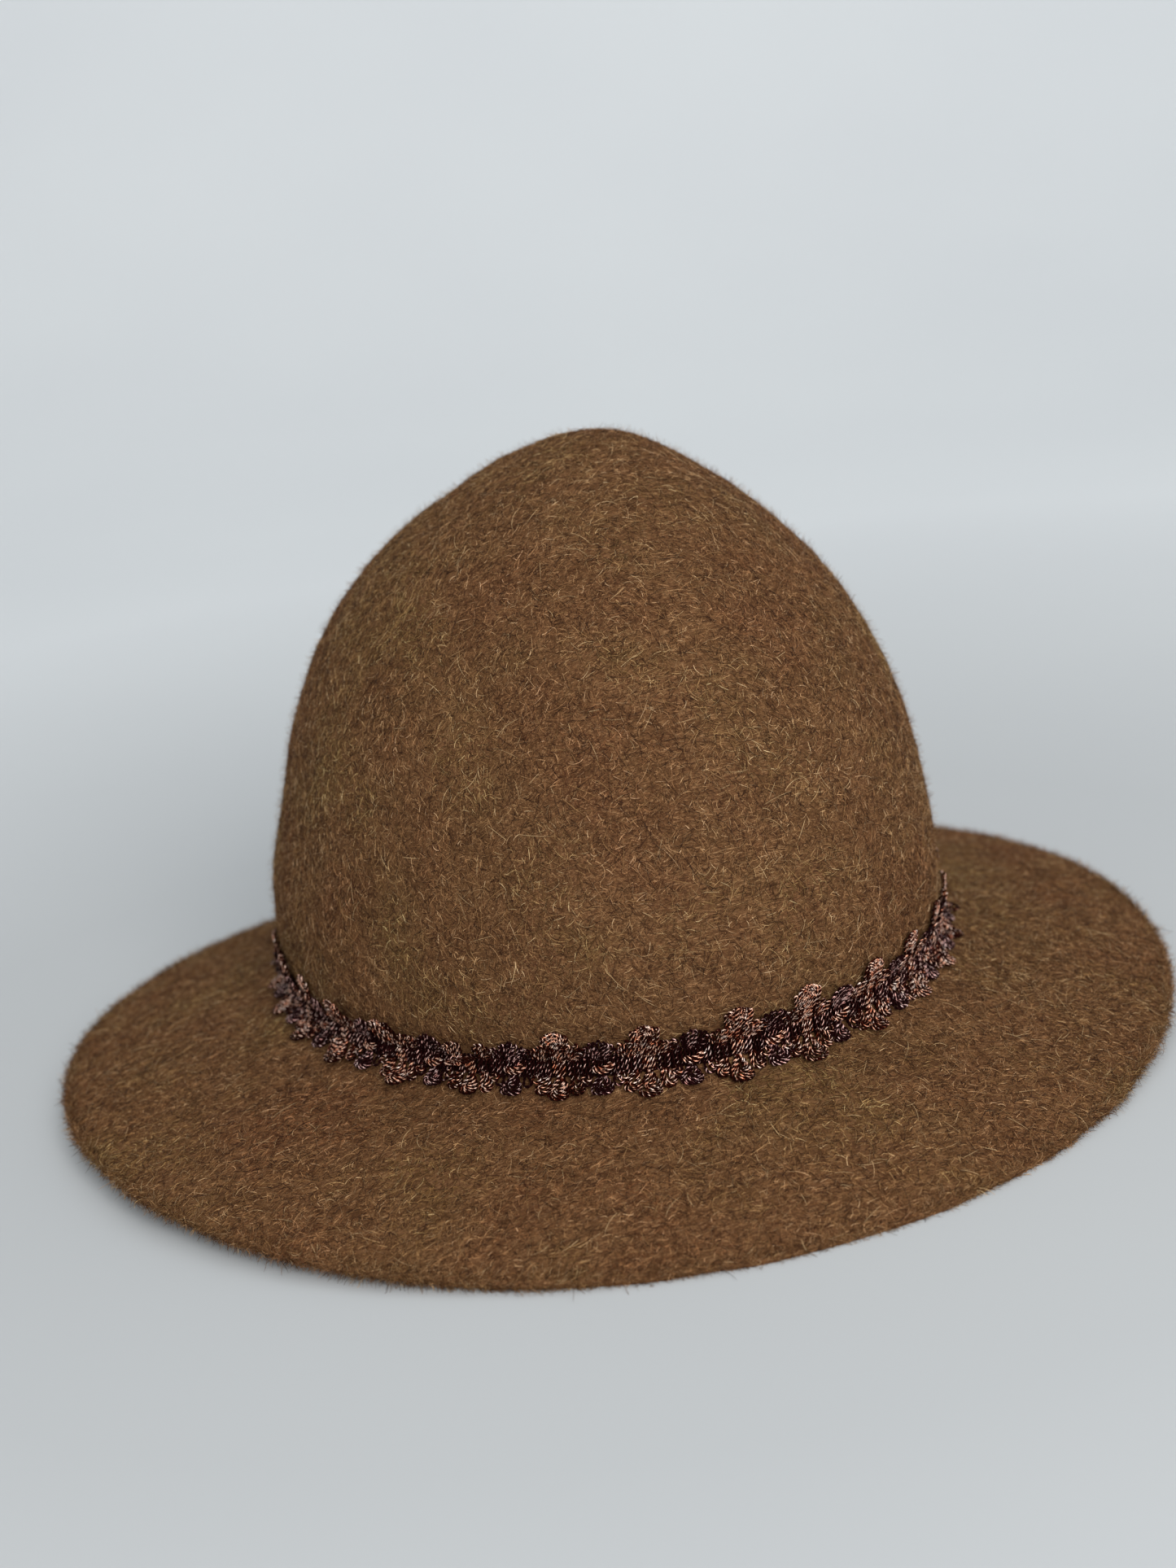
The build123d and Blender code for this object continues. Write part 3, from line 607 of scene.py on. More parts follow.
def build_felt():
    """One closed skin; a fan of triangles closes each end at the tip."""
    size = len(felt_grid) * COLS
    tip_top = outer[0].mean(0) + [0, 0, 0.12]
    tip_low = felt_grid[-1].mean(0) + [0, 0, 0.1]
    col = np.arange(COLS)
    col2 = (col + 1) % COLS
    last = size - COLS
    faces = [
        grid_faces(len(felt_grid), COLS),
        np.stack([np.full(COLS, size), col, col2], 1),
        np.stack([np.full(COLS, size + 1), last + col2, last + col], 1),
    ]
    verts = np.vstack([felt_grid.reshape(-1, 3), tip_top, tip_low])
    piece("felt_hat_body", (verts, faces), felt_material(), "wool_felt", "felt_body")


build_felt()


# ------------------------------------------------------------------ fibres on the felt
def surface_sampler(first, end):
    """Area-even random points on felt rows first..end, with two tangents and the normal."""
    rows = felt_grid[first:end]
    along = np.roll(rows, -1, 1)[:-1] - rows[:-1]
    areas = np.linalg.norm(np.cross(along, rows[1:] - rows[:-1]), axis=-1)
    total = np.cumsum(areas.ravel())

    def pick(count, draw):
        cell = np.searchsorted(total, draw.uniform(0, total[-1], count))
        i, j = cell // COLS, cell % COLS
        across, down = draw.uniform(0, 1, (2, count))[..., None]
        p00, p01 = rows[i, j], rows[i, (j + 1) % COLS]
        p10, p11 = rows[i + 1, j], rows[i + 1, (j + 1) % COLS]
        point = (p00 * ((1 - across) * (1 - down)) + p01 * (across * (1 - down))
                 + p10 * ((1 - across) * down) + p11 * (across * down))
        tangent = unit((p01 - p00) * (1 - down) + (p11 - p10) * down)
        second = unit((p10 - p00) * (1 - across) + (p11 - p01) * across)
        normal = unit(np.cross(second, tangent))
        return point, tangent, np.cross(tangent, normal), normal

    return pick


pick_top = surface_sampler(0, TOP_ROWS)
pick_edge = surface_sampler(TOP_ROWS - 2, TOP_ROWS + 9)
pick_under = surface_sampler(TOP_ROWS + 8, TOP_ROWS + 38)
flow = Waves(21, short=18, long=60, count=24)


def between(draw, count, low, high, power=1.0):
    return low + (high - low) * draw.uniform(0, 1, count) ** power


def fibre_paths(draw, pick, count, length, lift, free, curl, points=5):
    """Centre lines (count, points, 3) of fibres on the felt.

    length and lift are ranges for between(). The share free of the fibres stands up at one end,
    the others arch. curl is the spread of their bend in radians.
    """
    origin, tangent, second, normal = pick(count, draw)
    heading = flow(origin) * 0.9 + draw.normal(0, 1.2, count)
    length = between(draw, count, *length)
    turning = draw.normal(0, curl, count)
    lift = between(draw, count, *lift)[:, None]
    is_free = draw.uniform(0, 1, count) < free
    s = np.linspace(0, 1, points)[None, :]
    angle = heading[:, None] + turning[:, None] * (s - 0.5)
    angle = (angle[:, 1:] + angle[:, :-1]) / 2
    step = length[:, None] / (points - 1)
    start = np.zeros((count, 1))
    x = np.concatenate([start, np.cumsum(cos(angle) * step, 1)], 1)
    y = np.concatenate([start, np.cumsum(sin(angle) * step, 1)], 1)
    z = np.where(is_free[:, None], lift * 2.0 * s**1.4, lift * 4 * s * (1 - s)) + 0.03
    return (origin[:, None] + x[..., None] * tangent[:, None]
            + y[..., None] * second[:, None] + z[..., None] * normal[:, None])


def off_braid(paths, low, high):
    """Keeps the fibres clear of the band between two heights above BREAK_Z."""
    z = paths[..., 2] - BREAK_Z
    x = (paths[..., 0] - CROWN_X) / (HEAD_HALF_W + 9)
    y = (paths[..., 1] - CROWN_Y) / (HEAD_HALF_L + 9)
    near = (z > low) & (z < high) & (x * x + y * y < 1.0)
    return paths[~near.any(1)]


def above_floor(paths):
    paths[..., 2] = np.maximum(paths[..., 2], 0.05)
    return paths


def add_hair(name, draw, paths, radius, material):
    """Fibres drawn as hair curves; radius is the range of their thickness."""
    count, points, _ = paths.shape
    curves = bpy.data.hair_curves.new(name)
    curves.add_curves([points] * count)
    positions = (paths * MM).astype(np.float32).ravel()
    curves.attributes["position"].data.foreach_set("vector", positions)
    values = curves.attributes.get("radius") or curves.attributes.new("radius", "FLOAT", "POINT")
    taper = np.interp(np.linspace(0, 1, points), [0, 0.5, 1], [1.0, 0.9, 0.35])
    radii = np.repeat(draw.uniform(*radius, count)[:, None], points, 1) * taper * MM
    values.data.foreach_set("value", radii.astype(np.float32).ravel())
    curves.materials.append(material)
    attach(add_to_scene(name, curves), "root")


def add_naps():
    share = 1.0
    nap, halo = nap_material(), halo_material()
    draw = np.random.default_rng(31)
    paths = fibre_paths(draw, pick_top, int(230000 * share), length=(0.9, 3.0),
                        lift=(0.05, 0.28), free=0.22, curl=0.7)
    add_hair("felt_nap_short", draw, off_braid(paths, 3.0, 9.5), (0.036, 0.080), nap)
    paths = fibre_paths(draw, pick_top, int(22000 * share), length=(2.5, 6.5, 1.6),
                        lift=(0.08, 0.5), free=0.25, curl=0.8, points=7)
    add_hair("felt_nap_long", draw, off_braid(paths, 0.5, 13.0), (0.036, 0.064), nap)
    paths = fibre_paths(draw, pick_edge, int(16000 * share), length=(0.8, 3.2),
                        lift=(0.1, 0.9), free=0.6, curl=1.3)
    add_hair("felt_nap_edge", draw, paths, (0.030, 0.050), nap)
    paths = fibre_paths(draw, pick_under, int(60000 * share), length=(0.9, 3.0),
                        lift=(0.05, 0.3), free=0.22, curl=1.1)
    add_hair("felt_nap_under", draw, paths, (0.030, 0.055), nap)
    # loose ends that stand off the surface and soften its outline
    draw = np.random.default_rng(47)
    paths = fibre_paths(draw, pick_top, int(90000 * share), length=(0.9, 2.9),
                        lift=(0.24, 1.30, 2.0), free=1.0, curl=1.0)
    add_hair("felt_halo_top", draw, off_braid(paths, 0.5, 13.0), (0.018, 0.030), halo)
    paths = fibre_paths(draw, pick_edge, int(20000 * share), length=(0.8, 3.0),
                        lift=(0.22, 1.30, 1.7), free=1.0, curl=1.3)
    add_hair("felt_halo_edge", draw, above_floor(paths), (0.018, 0.032), halo)


def fibre_tubes(paths, radii):
    """Closed three-sided tubes round the paths, thinner at their ends."""
    count, points, _ = paths.shape
    sides = 3
    tangent = np.empty_like(paths)
    tangent[:, 1:-1] = paths[:, 2:] - paths[:, :-2]
    tangent[:, 0] = paths[:, 1] - paths[:, 0]
    tangent[:, -1] = paths[:, -1] - paths[:, -2]
    tangent = unit(tangent)
    across = unit(np.cross(tangent, np.array([0.31, 0.17, 0.93])))
    second = np.cross(tangent, across)
    radii = radii[:, None] * np.array([0.75] + [1.0] * (points - 2) + [0.35])
    around = (np.arange(sides) * 2 * pi / sides)[None, None, :, None]
    ring = cos(around) * across[:, :, None] + sin(around) * second[:, :, None]
    verts = (paths[:, :, None] + radii[:, :, None, None] * ring).reshape(-1, 3)
    starts = (np.arange(count) * points * sides)[:, None]
    quads = (grid_faces(points, sides)[None] + starts[..., None]).reshape(-1, 4)
    cap = np.arange(sides)[None, :]
    return verts, [quads, cap[:, ::-1] + starts, cap + starts + (points - 1) * sides]


# stray hairs with real thickness: shade, colour, count
STRAYS = [
    ("dark", srgb(48, 25, 12), 5200), ("brown", srgb(108, 73, 42), 6400),
    ("tan", srgb(156, 117, 74), 5200), ("pale", srgb(206, 172, 126), 1500),
]


def add_strays(shade, colour, count):
    draw = np.random.default_rng(sum(map(ord, shade)))
    paths = np.concatenate([
        fibre_paths(draw, pick_top, int(count * 0.86), length=(2.2, 8.0, 1.7),
                    lift=(0.08, 0.55), free=0.22, curl=0.6, points=6),
        fibre_paths(draw, pick_edge, int(count * 0.14), length=(1.2, 4.5, 1.3),
                    lift=(0.2, 1.1), free=0.7, curl=1.0, points=6),
    ])
    paths = above_floor(off_braid(paths, -2.0, 15.0))
    mesh = fibre_tubes(paths, draw.uniform(0.040, 0.062, len(paths)))
    piece("felt_fibres_" + shade, mesh, fibre_material("fibre_" + shade, colour), "wool_felt")


add_naps()
for stray in STRAYS:
    add_strays(*stray)


# ------------------------------------------------------------------ gimp braid: its line
# length along the braid against the angle round the crown, starting at the back
ARC_STEPS = 14400
arc_middles = BACK + 2 * pi * (np.arange(ARC_STEPS) + 0.5) / ARC_STEPS
arc_angles = BACK + 2 * pi * np.arange(ARC_STEPS + 1) / ARC_STEPS
arc_steps = np.hypot((HEAD_HALF_W + 2.0) * sin(arc_middles), (HEAD_HALF_L + 2.0) * cos(arc_middles))
arc_lengths = np.concatenate([[0], np.cumsum(arc_steps * 2 * pi / ARC_STEPS)])
BRAID_LEN = arc_lengths[-1]
MOTIFS = 30
PERIOD = BRAID_LEN / MOTIFS
dip = Waves(41, short=120, long=320, count=12, rms=0.35)


def angle_at(length):
    return np.interp(length, arc_lengths, arc_angles)


def drape(points):
    """Braid coordinates (along, up, out) to points on the hat, and the outward direction."""
    x, y, z = points[..., 0], points[..., 1], points[..., 2]
    angle = angle_at(x % BRAID_LEN)
    # the hand-sewn line wanders a little and sags at the -x side of the front
    sag = np.clip(cos(angle - radians(-150.0)), 0, 1) ** 3
    y = y - 0.75 * sag + dip(np.stack([90 * cos(angle), 108 * sin(angle), 0 * angle], -1))
    centre = brim_profile(angle)[-1]
    height = BRAID_H + y
    bend_h = centre - BREAK_Z
    # below bend_h the braid follows the bend, and beyond steepest it runs on straight
    steepest = 1.35
    below = np.maximum(bend_h - height, 0) * 1.13
    swing = np.minimum(below / BREAK_R, steepest)
    rest = np.maximum(below - BREAK_R * steepest, 0)
    radius = BREAK_R - z
    low_point = place(
        angle, BREAK_R - radius * cos(swing) + rest * sin(steepest),
        centre - radius * sin(swing) - rest * cos(steepest))
    wall_h = np.maximum(height, bend_h)
    away = place(angle, z, BREAK_Z + wall_h) - place(angle, 0 * z, BREAK_Z + wall_h)
    point = np.where((height < bend_h)[..., None], low_point, wall(angle, wall_h) + away)
    radial = place(angle, 0 * z + 1, 0 * z) - place(angle, 0 * z, 0 * z)
    out = radial * cos(swing)[..., None] + np.array([0, 0, 1.0]) * sin(swing)[..., None]
    return point, out


def resample(path, step):
    """Path with even steps, and the length along it at each point."""
    steps = np.linalg.norm(np.diff(path, axis=0), axis=1)
    length = np.concatenate([[0], np.cumsum(steps)])
    want = np.linspace(0, length[-1], max(4, int(round(length[-1] / step)) + 1))
    return np.stack([np.interp(want, length, path[:, k]) for k in range(3)], -1), want


braid_draw = np.random.default_rng(77)


def jitter(spread):
    return braid_draw.normal(0, spread)


class Yarn(Strands):
    """Two-ply yarns; ply is the radius of one ply, lowest the least value of height."""

    def __init__(self, name, ply=0.215, pitch=2.7, step=0.36, lowest=0.0):
        super().__init__(name)
        self.ply, self.pitch, self.step, self.lowest = ply, pitch, step, lowest

    def add(self, *local, tone=None, phase=None):
        """A yarn along braid coordinates, given as one path or as x, y and z."""
        local = local[0] if len(local) == 1 else np.stack(local, -1)
        local, length = resample(local, self.step)
        path, out = drape(local)
        axes = section_axes(np.gradient(path, axis=0), out)
        start = braid_draw.uniform(0, 2 * pi)
        if phase is not None:
            # yarns of one motif are twisted nearly alike, so their glints line up
            start = phase + 0.10 * (start - pi)
        tone = braid_draw.uniform(0, 1) if tone is None else tone
        around = np.arange(5) * 2 * pi / 5 + start
        radius = np.full(len(path), self.ply)
        radius[[0, -1]] *= 0.6
        # 0 for yarn that lies low among the others, 1 for yarn on top; the material paints low yarn
        # darker as painted shade
        height = np.clip((local[:, 2] - 0.7) / 1.1, self.lowest, 1)[:, None]
        offset = 0.86  # distance of a ply from the yarn's middle, as a share of its radius
        for k in range(2):
            twist = (2 * pi * length / self.pitch + start + k * pi)[:, None]
            centre = path + self.ply * offset * (cos(twist) * axes[0] + sin(twist) * axes[1])
            # painted light: 1 on the ridge of the twist, 0 in the valley, a little less where it
            # faces the hat; the material paints the ridges with bright painted highlights and the
            # valleys with painted shade
            ridge = np.sqrt(offset**2 + 1 + 2 * offset * cos(around - twist)) / (1 + offset)
            face = 0.5 + 0.5 * (offset * sin(twist) + sin(around)) / (1 + offset)
            self.tube(centre, axes, radius, around,
                      tone=tone, crest=0.92 * ridge + 0.08 * face, height=height)


def loop_path(middle, foot, angle, width, height, rise, points, tilt=0.0, full=0.35):
    """Teardrop loop that starts and ends at foot and points along angle (0 is up).

    middle is the motif's place along the braid, rise the distances off the hat at the foot and
    the far end, full the width near the foot.
    """
    s = np.linspace(0, 1, points)
    across = 0.5 * width * sin(2 * pi * s) * (full + (1 - full) * sin(pi * s))
    across = across / (full + (1 - full) * 0.707)
    reach = height * sin(pi * s) ** 1.25
    z = rise[0] + (rise[1] - rise[0]) * sin(pi * s) + reach * sin(tilt)
    reach = reach * cos(tilt)
    return np.stack([
        middle + foot[0] + across * cos(angle) + reach * sin(angle),
        foot[1] - across * sin(angle) + reach * cos(angle),
        z,
    ], -1)


# ------------------------------------------------------------------ gimp braid: materials
def yarn_material(name, ground, shine, fill, rough=0.28):
    """Dark yarn wound with metallic thread; bright colour is painted on the ridges of its twist as
    painted highlights, and the valleys and low-lying yarn are painted darker as painted shade.

    ground and shine are colour stops; fill is the level of the twist mask at which the painted
    highlight begins.
    """
    mat = Shader(name)
    co = mat.coords()
    tone, crest, height = (mat.attribute(key) for key in ("tone", "crest", "height"))
    fine = mat.noise(co, scale=1900.0, rough=0.6)
    spot = mat.noise(mat.map(co, loc=(2, 5, 1)), scale=900.0, rough=0.55)
    # painted light: the base is painted darker in the valleys of the twist and lighter on its
    # ridges
    shade = mat.add(mat.times(fine, 0.5), mat.times(crest, 0.5))
    base = mat.ramp(mat.add(shade, mat.centred(tone, 0.16)), *ground)
    level = mat.add(crest, mat.centred(spot, 0.38))
    level = mat.add(level, mat.centred(tone, 0.10))
    # painted highlights are held back on yarn that lies low among the others
    level = mat.math("SUBTRACT", level, mat.remap(height, (0.0, 1.0), to=(0.07, 0.0)))
    # painted highlight: bright shine colour painted where the twist mask passes fill
    glint = mat.remap(level, (fill, fill + 0.045))
    glow = mat.ramp(mat.noise(mat.map(co, loc=(7, 1, 3)), scale=700.0, detail=1.0), *shine)
    # painted shade: yarn that lies low among the others is painted darker
    base = mat.tinted(base, mat.ramp(height, (0.0, (0.40, 0.30, 0.30)), (1.0, grey(1.0))))
    fuzz = mat.noise(co, scale=2600.0, rough=0.6)
    return mat.finish(
        base=mat.mix(glint, base, glow),
        metal=mat.times(glint, 0.25),
        rough=mat.remap(glint, (0.0, 1.0), to=(0.62, rough)),
        spec=mat.remap(glint, (0.0, 1.0), to=(0.08, 0.7)),
        tint=mat.mix(glint, (1.0, 0.30, 0.22), (1.0, 0.80, 0.70)),
        sheen=0.02, sheen_rough=0.4, sheen_tint=(1.0, 0.5, 0.4),
        normal=mat.bump(fuzz, strength=0.5, distance=0.00006))


bronze_mat = yarn_material(
    "bronze_yarn", fill=0.930,
    ground=[(0.42, srgb(10, 1, 1)), (0.62, srgb(22, 4, 2)), (0.78, srgb(60, 17, 8)),
            (0.92, srgb(140, 56, 31))],
    shine=[(0.28, srgb(240, 142, 102)), (0.46, srgb(255, 196, 164)), (0.7, srgb(255, 234, 220))])
plum_mat = yarn_material(
    "plum_yarn", fill=0.955,
    ground=[(0.42, srgb(8, 1, 2)), (0.62, srgb(17, 3, 5)), (0.78, srgb(32, 9, 11)),
            (0.92, srgb(62, 24, 27))],
    shine=[(0.28, srgb(204, 138, 130)), (0.5, srgb(246, 196, 188)), (0.8, srgb(255, 232, 226))])
wrap_mat = yarn_material(
    "wrap_yarn", fill=0.945,
    ground=[(0.42, srgb(9, 1, 2)), (0.62, srgb(20, 4, 5)), (0.78, srgb(40, 12, 13)),
            (0.92, srgb(80, 32, 32))],
    shine=[(0.28, srgb(220, 144, 130)), (0.5, srgb(252, 202, 188)), (0.8, srgb(255, 234, 226))])
core_mat = yarn_material(
    "core_yarn", fill=0.968, rough=0.36,
    ground=[(0.38, srgb(8, 2, 2)), (0.62, srgb(18, 5, 5)), (0.85, srgb(34, 13, 13))],
    shine=[(0.3, srgb(160, 100, 92)), (0.8, srgb(222, 170, 156))])

# ------------------------------------------------------------------ gimp braid: motifs
fans = Yarn("braid_bronze_fans")
loops = Yarn("braid_bronze_loops")
plum = Yarn("braid_plum_loops")
core = Yarn("braid_core_cords", ply=0.30, pitch=2.6, step=0.6, lowest=0.5)
wraps = Yarn("braid_wraps", step=0.4)

# the braid was pulled unevenly as it was sewn on: shift in mm against the motif's number
PULL_AT = [0, 8, 9, 10, 11, 12, 13, 14, 15, 16, 28, 30]
PULL_BY = [0, -1.1, 0.6, 3.85, 5.3, 8.4, 9.0, 9.5, 7.4, 7.1, 0, 0]
# fans set one by one: how far each has folded forward and how far it leans sideways, in radians
SET_FANS = {
    9: (0.25, 0.10), 10: (0.30, -0.50), 11: (1.25, 0.0), 12: (0.08, 0.0), 13: (0.08, -0.05),
    14: (0.08, 0.03), 15: (0.1, -0.05), 16: (0.1, 0.04), 24: (0.20, 0.1), 29: (0.14, -0.2),
}


def motif_x(i):
    return i * PERIOD + 0.25 * PERIOD + np.interp(i, PULL_AT, PULL_BY)


def add_cords():
    for k, y in enumerate((-2.0, -1.0, 0.0, 1.0, 2.0)):
        x = 0.45 + np.linspace(0, BRAID_LEN - 0.9, 1400)
        core.add(x, y + 0.12 * sin(x * 2.1 + k), 0.72 + 0.12 * cos(x * 1.7 + 2 * k))


def arched(y, radius):
    """0..1 height of an arch that a yarn makes over the cords."""
    return np.sqrt(np.clip(1 - (y / radius) ** 2, 0, 1))


def add_fan(middle, big, fold, lean):
    """Upper fan of a bronze flower, with three rows of yarn across its tip."""
    for j in range(-3, 4):
        off = abs(j) / 3
        angle = j * radians(3.9) + lean + jitter(0.02)
        fans.add(loop_path(
            middle, foot=(0.46 * j, 1.4 + jitter(0.1)), angle=angle, width=1.0 + jitter(0.06),
            height=(9.1 - 1.15 * off**2) * big + jitter(0.12),
            rise=(1.1, 1.9 + 0.4 * cos(off * 1.5) + jitter(0.15)),
            points=34, tilt=fold, full=0.85), phase=0.7)
    for row, (reach, half_angle) in enumerate(((8.9, 16), (7.9, 17), (6.9, 17))):
        s = np.linspace(-1, 1, 30)
        radius = (reach - 0.9 * s**2) * big
        angle = s * radians(half_angle) + lean
        up = radius * cos(angle)
        fans.add(
            middle + radius * sin(angle),
            1.4 + up * cos(fold) + 0.14 * sin(s * 26 + row * 2),
            2.15 + up * sin(fold) + 0.26 * cos(s * 22 + row), tone=0.95)


def add_bronze_flower(i):
    middle = motif_x(i) + jitter(0.12)
    big = 1.0 + jitter(0.04)
    fold, lean = -0.06 + 0.04 * abs(jitter(1.0)), jitter(0.10)
    if i in SET_FANS:
        fold, lean = SET_FANS[i]
        big *= 0.78 if fold > 1 else 1.0
    add_fan(middle, big, fold, lean)
    # small fans on both sides
    for side in (-1, 1):
        foot_x, foot_y = side * (3.5 + jitter(0.1)), 1.4 + jitter(0.1)
        for j in range(-2, 3):
            angle = j * radians(12) + side * 0.22 + jitter(0.05)
            fans.add(loop_path(
                middle, foot=(foot_x + 0.38 * j, foot_y), angle=angle, width=1.0,
                height=(5.0 - 0.28 * abs(j)) * (1 + jitter(0.05)),
                rise=(1.0, 2.1 + jitter(0.12)), points=22, tilt=0.12, full=0.7), phase=1.9)
    # nested loops that hang below: width, height, rise at the far end
    tilt = (0.10 + 0.06 * abs(jitter(1))) * 0.4
    swing = jitter(0.06) + lean * 0.3
    for width, height, top in (
            (5.0, 8.3, 1.3), (4.1, 7.8, 1.6), (3.1, 7.0, 1.9), (2.1, 6.1, 2.05), (1.1, 5.0, 2.0)):
        loops.add(loop_path(
            middle, foot=(jitter(0.12), -1.5), angle=pi + jitter(0.03) + swing,
            width=width * big + jitter(0.12), height=height * big + jitter(0.15),
            rise=(1.2, top), points=42, tilt=tilt, full=0.45), phase=0.4)
    for side in (-1, 1):
        for width, height, top in ((3.0, 5.9, 1.3), (2.1, 5.3, 1.6), (1.1, 4.4, 1.8)):
            loops.add(loop_path(
                middle, foot=(side * (3.0 + jitter(0.08)), -1.3),
                angle=pi - side * 0.30 + jitter(0.05),
                width=width + jitter(0.1), height=height + jitter(0.15),
                rise=(1.1, top), points=28, tilt=0.05, full=0.5), phase=1.2)
        loops.add(loop_path(
            middle, foot=(side * 6.2 + jitter(0.1), -1.9), angle=pi + jitter(0.1), width=2.1,
            height=1.9 + jitter(0.1), rise=(1.1, 1.6), points=16, tilt=0.1, full=0.7), tone=0.8)
    # yarns over the cords in the middle of the flower
    for j in range(-2, 3):
        x = j * 0.60 + jitter(0.05)
        y = np.linspace(-1.7, 1.7, 10)
        loops.add(middle + x + 0.05 * y * jitter(1), y, 0.35 + 1.5 * arched(y, 2.5), tone=0.7)


def add_plum_motif(i):
    """Plum loops half-way to the next flower, tied by bronze yarns."""
    middle = 0.5 * (motif_x(i) + motif_x(i + 1)) + jitter(0.25)
    lean = jitter(0.12)
    for j in range(-3, 4):
        angle = j * radians(8.5) + lean + jitter(0.03)
        plum.add(loop_path(
            middle, foot=(0.36 * j, 1.5 + jitter(0.1)), angle=angle, width=1.05 + jitter(0.06),
            height=5.7 - 0.10 * j**2 + jitter(0.12), rise=(1.2, 2.2 + jitter(0.15)),
            points=26, tilt=0.08, full=0.7), phase=2.3)
    for side in (-1, 1):
        for width, height in ((1.9, 3.7), (1.0, 3.0)):
            plum.add(loop_path(
                middle, foot=(side * (3.6 + jitter(0.1)), 1.5), angle=side * 0.22 + jitter(0.1),
                width=width, height=height + jitter(0.2), rise=(1.0, 1.9),
                points=22, tilt=0.1, full=0.7))
    # nested loops that hang below: width, height, rise at the far end
    swing = jitter(0.12)
    for width, height, top in (
            (4.8, 6.4, 1.35), (3.9, 5.9, 1.6), (3.0, 5.3, 1.8), (2.0, 4.6, 2.0), (1.0, 3.7, 2.0)):
        plum.add(loop_path(
            middle, foot=(jitter(0.1) - 0.3, -1.5), angle=pi + swing + jitter(0.04),
            width=width + jitter(0.1), height=height + jitter(0.15),
            rise=(1.2, top), points=32, tilt=0.12, full=0.5), phase=0.9)
    # one small loop on each side: foot, turn, width, height, rise at the far end
    for x, turn, width, height, top in ((2.6, -0.3, 1.9, 3.9, 1.6), (-3.0, 0.3, 1.7, 3.3, 1.5)):
        plum.add(loop_path(
            middle, foot=(x + jitter(0.1), -1.5), angle=pi + turn, width=width,
            height=height + jitter(0.2), rise=(1.1, top), points=20, tilt=0.12, full=0.5))
    s = np.linspace(-1, 1, 22)
    for j in range(4):
        y = -1.15 + 0.42 * j + (1.35 - 0.25 * j) * s**2 + 0.45 * s
        z = 1.6 + 0.7 * np.sqrt(np.clip(1 - (s * 0.96) ** 2, 0, 1))
        loops.add(middle + 0.3 + (2.75 - 0.30 * j) * s, y + jitter(0.05), z,
                  tone=0.95 if j in (0, 3) else 0.5)


def add_wraps(i):
    """Yarns wound over the cords between the flowers."""
    for j in range(21):
        x = (i + (j + 0.5) / 21) * PERIOD
        on_flower = min(abs(x - motif_x(k)) for k in (i - 1, i, i + 1)) < 1.9
        if on_flower or x < 1.0 or x > BRAID_LEN - 1.0:
            continue
        y = np.linspace(-2.45, 2.45, 12)
        wraps.add(x + 0.06 * y * jitter(1.2), y, 0.3 + (1.45 + jitter(0.10)) * arched(y, 2.6),
                  tone=0.5 + jitter(0.25))


add_cords()
for motif in range(MOTIFS):
    add_bronze_flower(motif)
    add_plum_motif(motif)
    add_wraps(motif)

fans.build(bronze_mat, "bronze_yarn", "braid_bronze_motifs")
loops.build(bronze_mat, "bronze_yarn")
plum.build(plum_mat, "plum_yarn", "braid_plum_motifs")
core.build(core_mat, "gimp_core", "braid_foundation")
wraps.build(wrap_mat, "plum_yarn")


# ------------------------------------------------------------------ materials inside the hat
def round_coords(mat):
    """Object position, length round the oval, and height."""
    co = mat.coords()
    x, y, up = mat.split(co)
    x = mat.math("SUBTRACT", x, CROWN_X * MM)
    y = mat.math("SUBTRACT", y, CROWN_Y * MM)
    angle = mat.math("ARCTAN2", y, mat.times(x, 1.2))
    return co, mat.times(angle, MEAN_R * MM), up


def sine(mat, coord, size):
    return mat.math("SINE", mat.times(coord, 2 * pi / size))


def wave(mat, coord, size):
    """0..1 ripple along one coordinate."""
    return mat.math("MULTIPLY_ADD", sine(mat, coord, size), 0.5, 0.5)


def weave(mat, across, up, size):
    """Plain weave: over-and-under bumps of two threads."""
    bumps = mat.times(sine(mat, across, size[0]), sine(mat, up, size[1]))
    return mat.math("MULTIPLY_ADD", bumps, 0.5, 0.5)


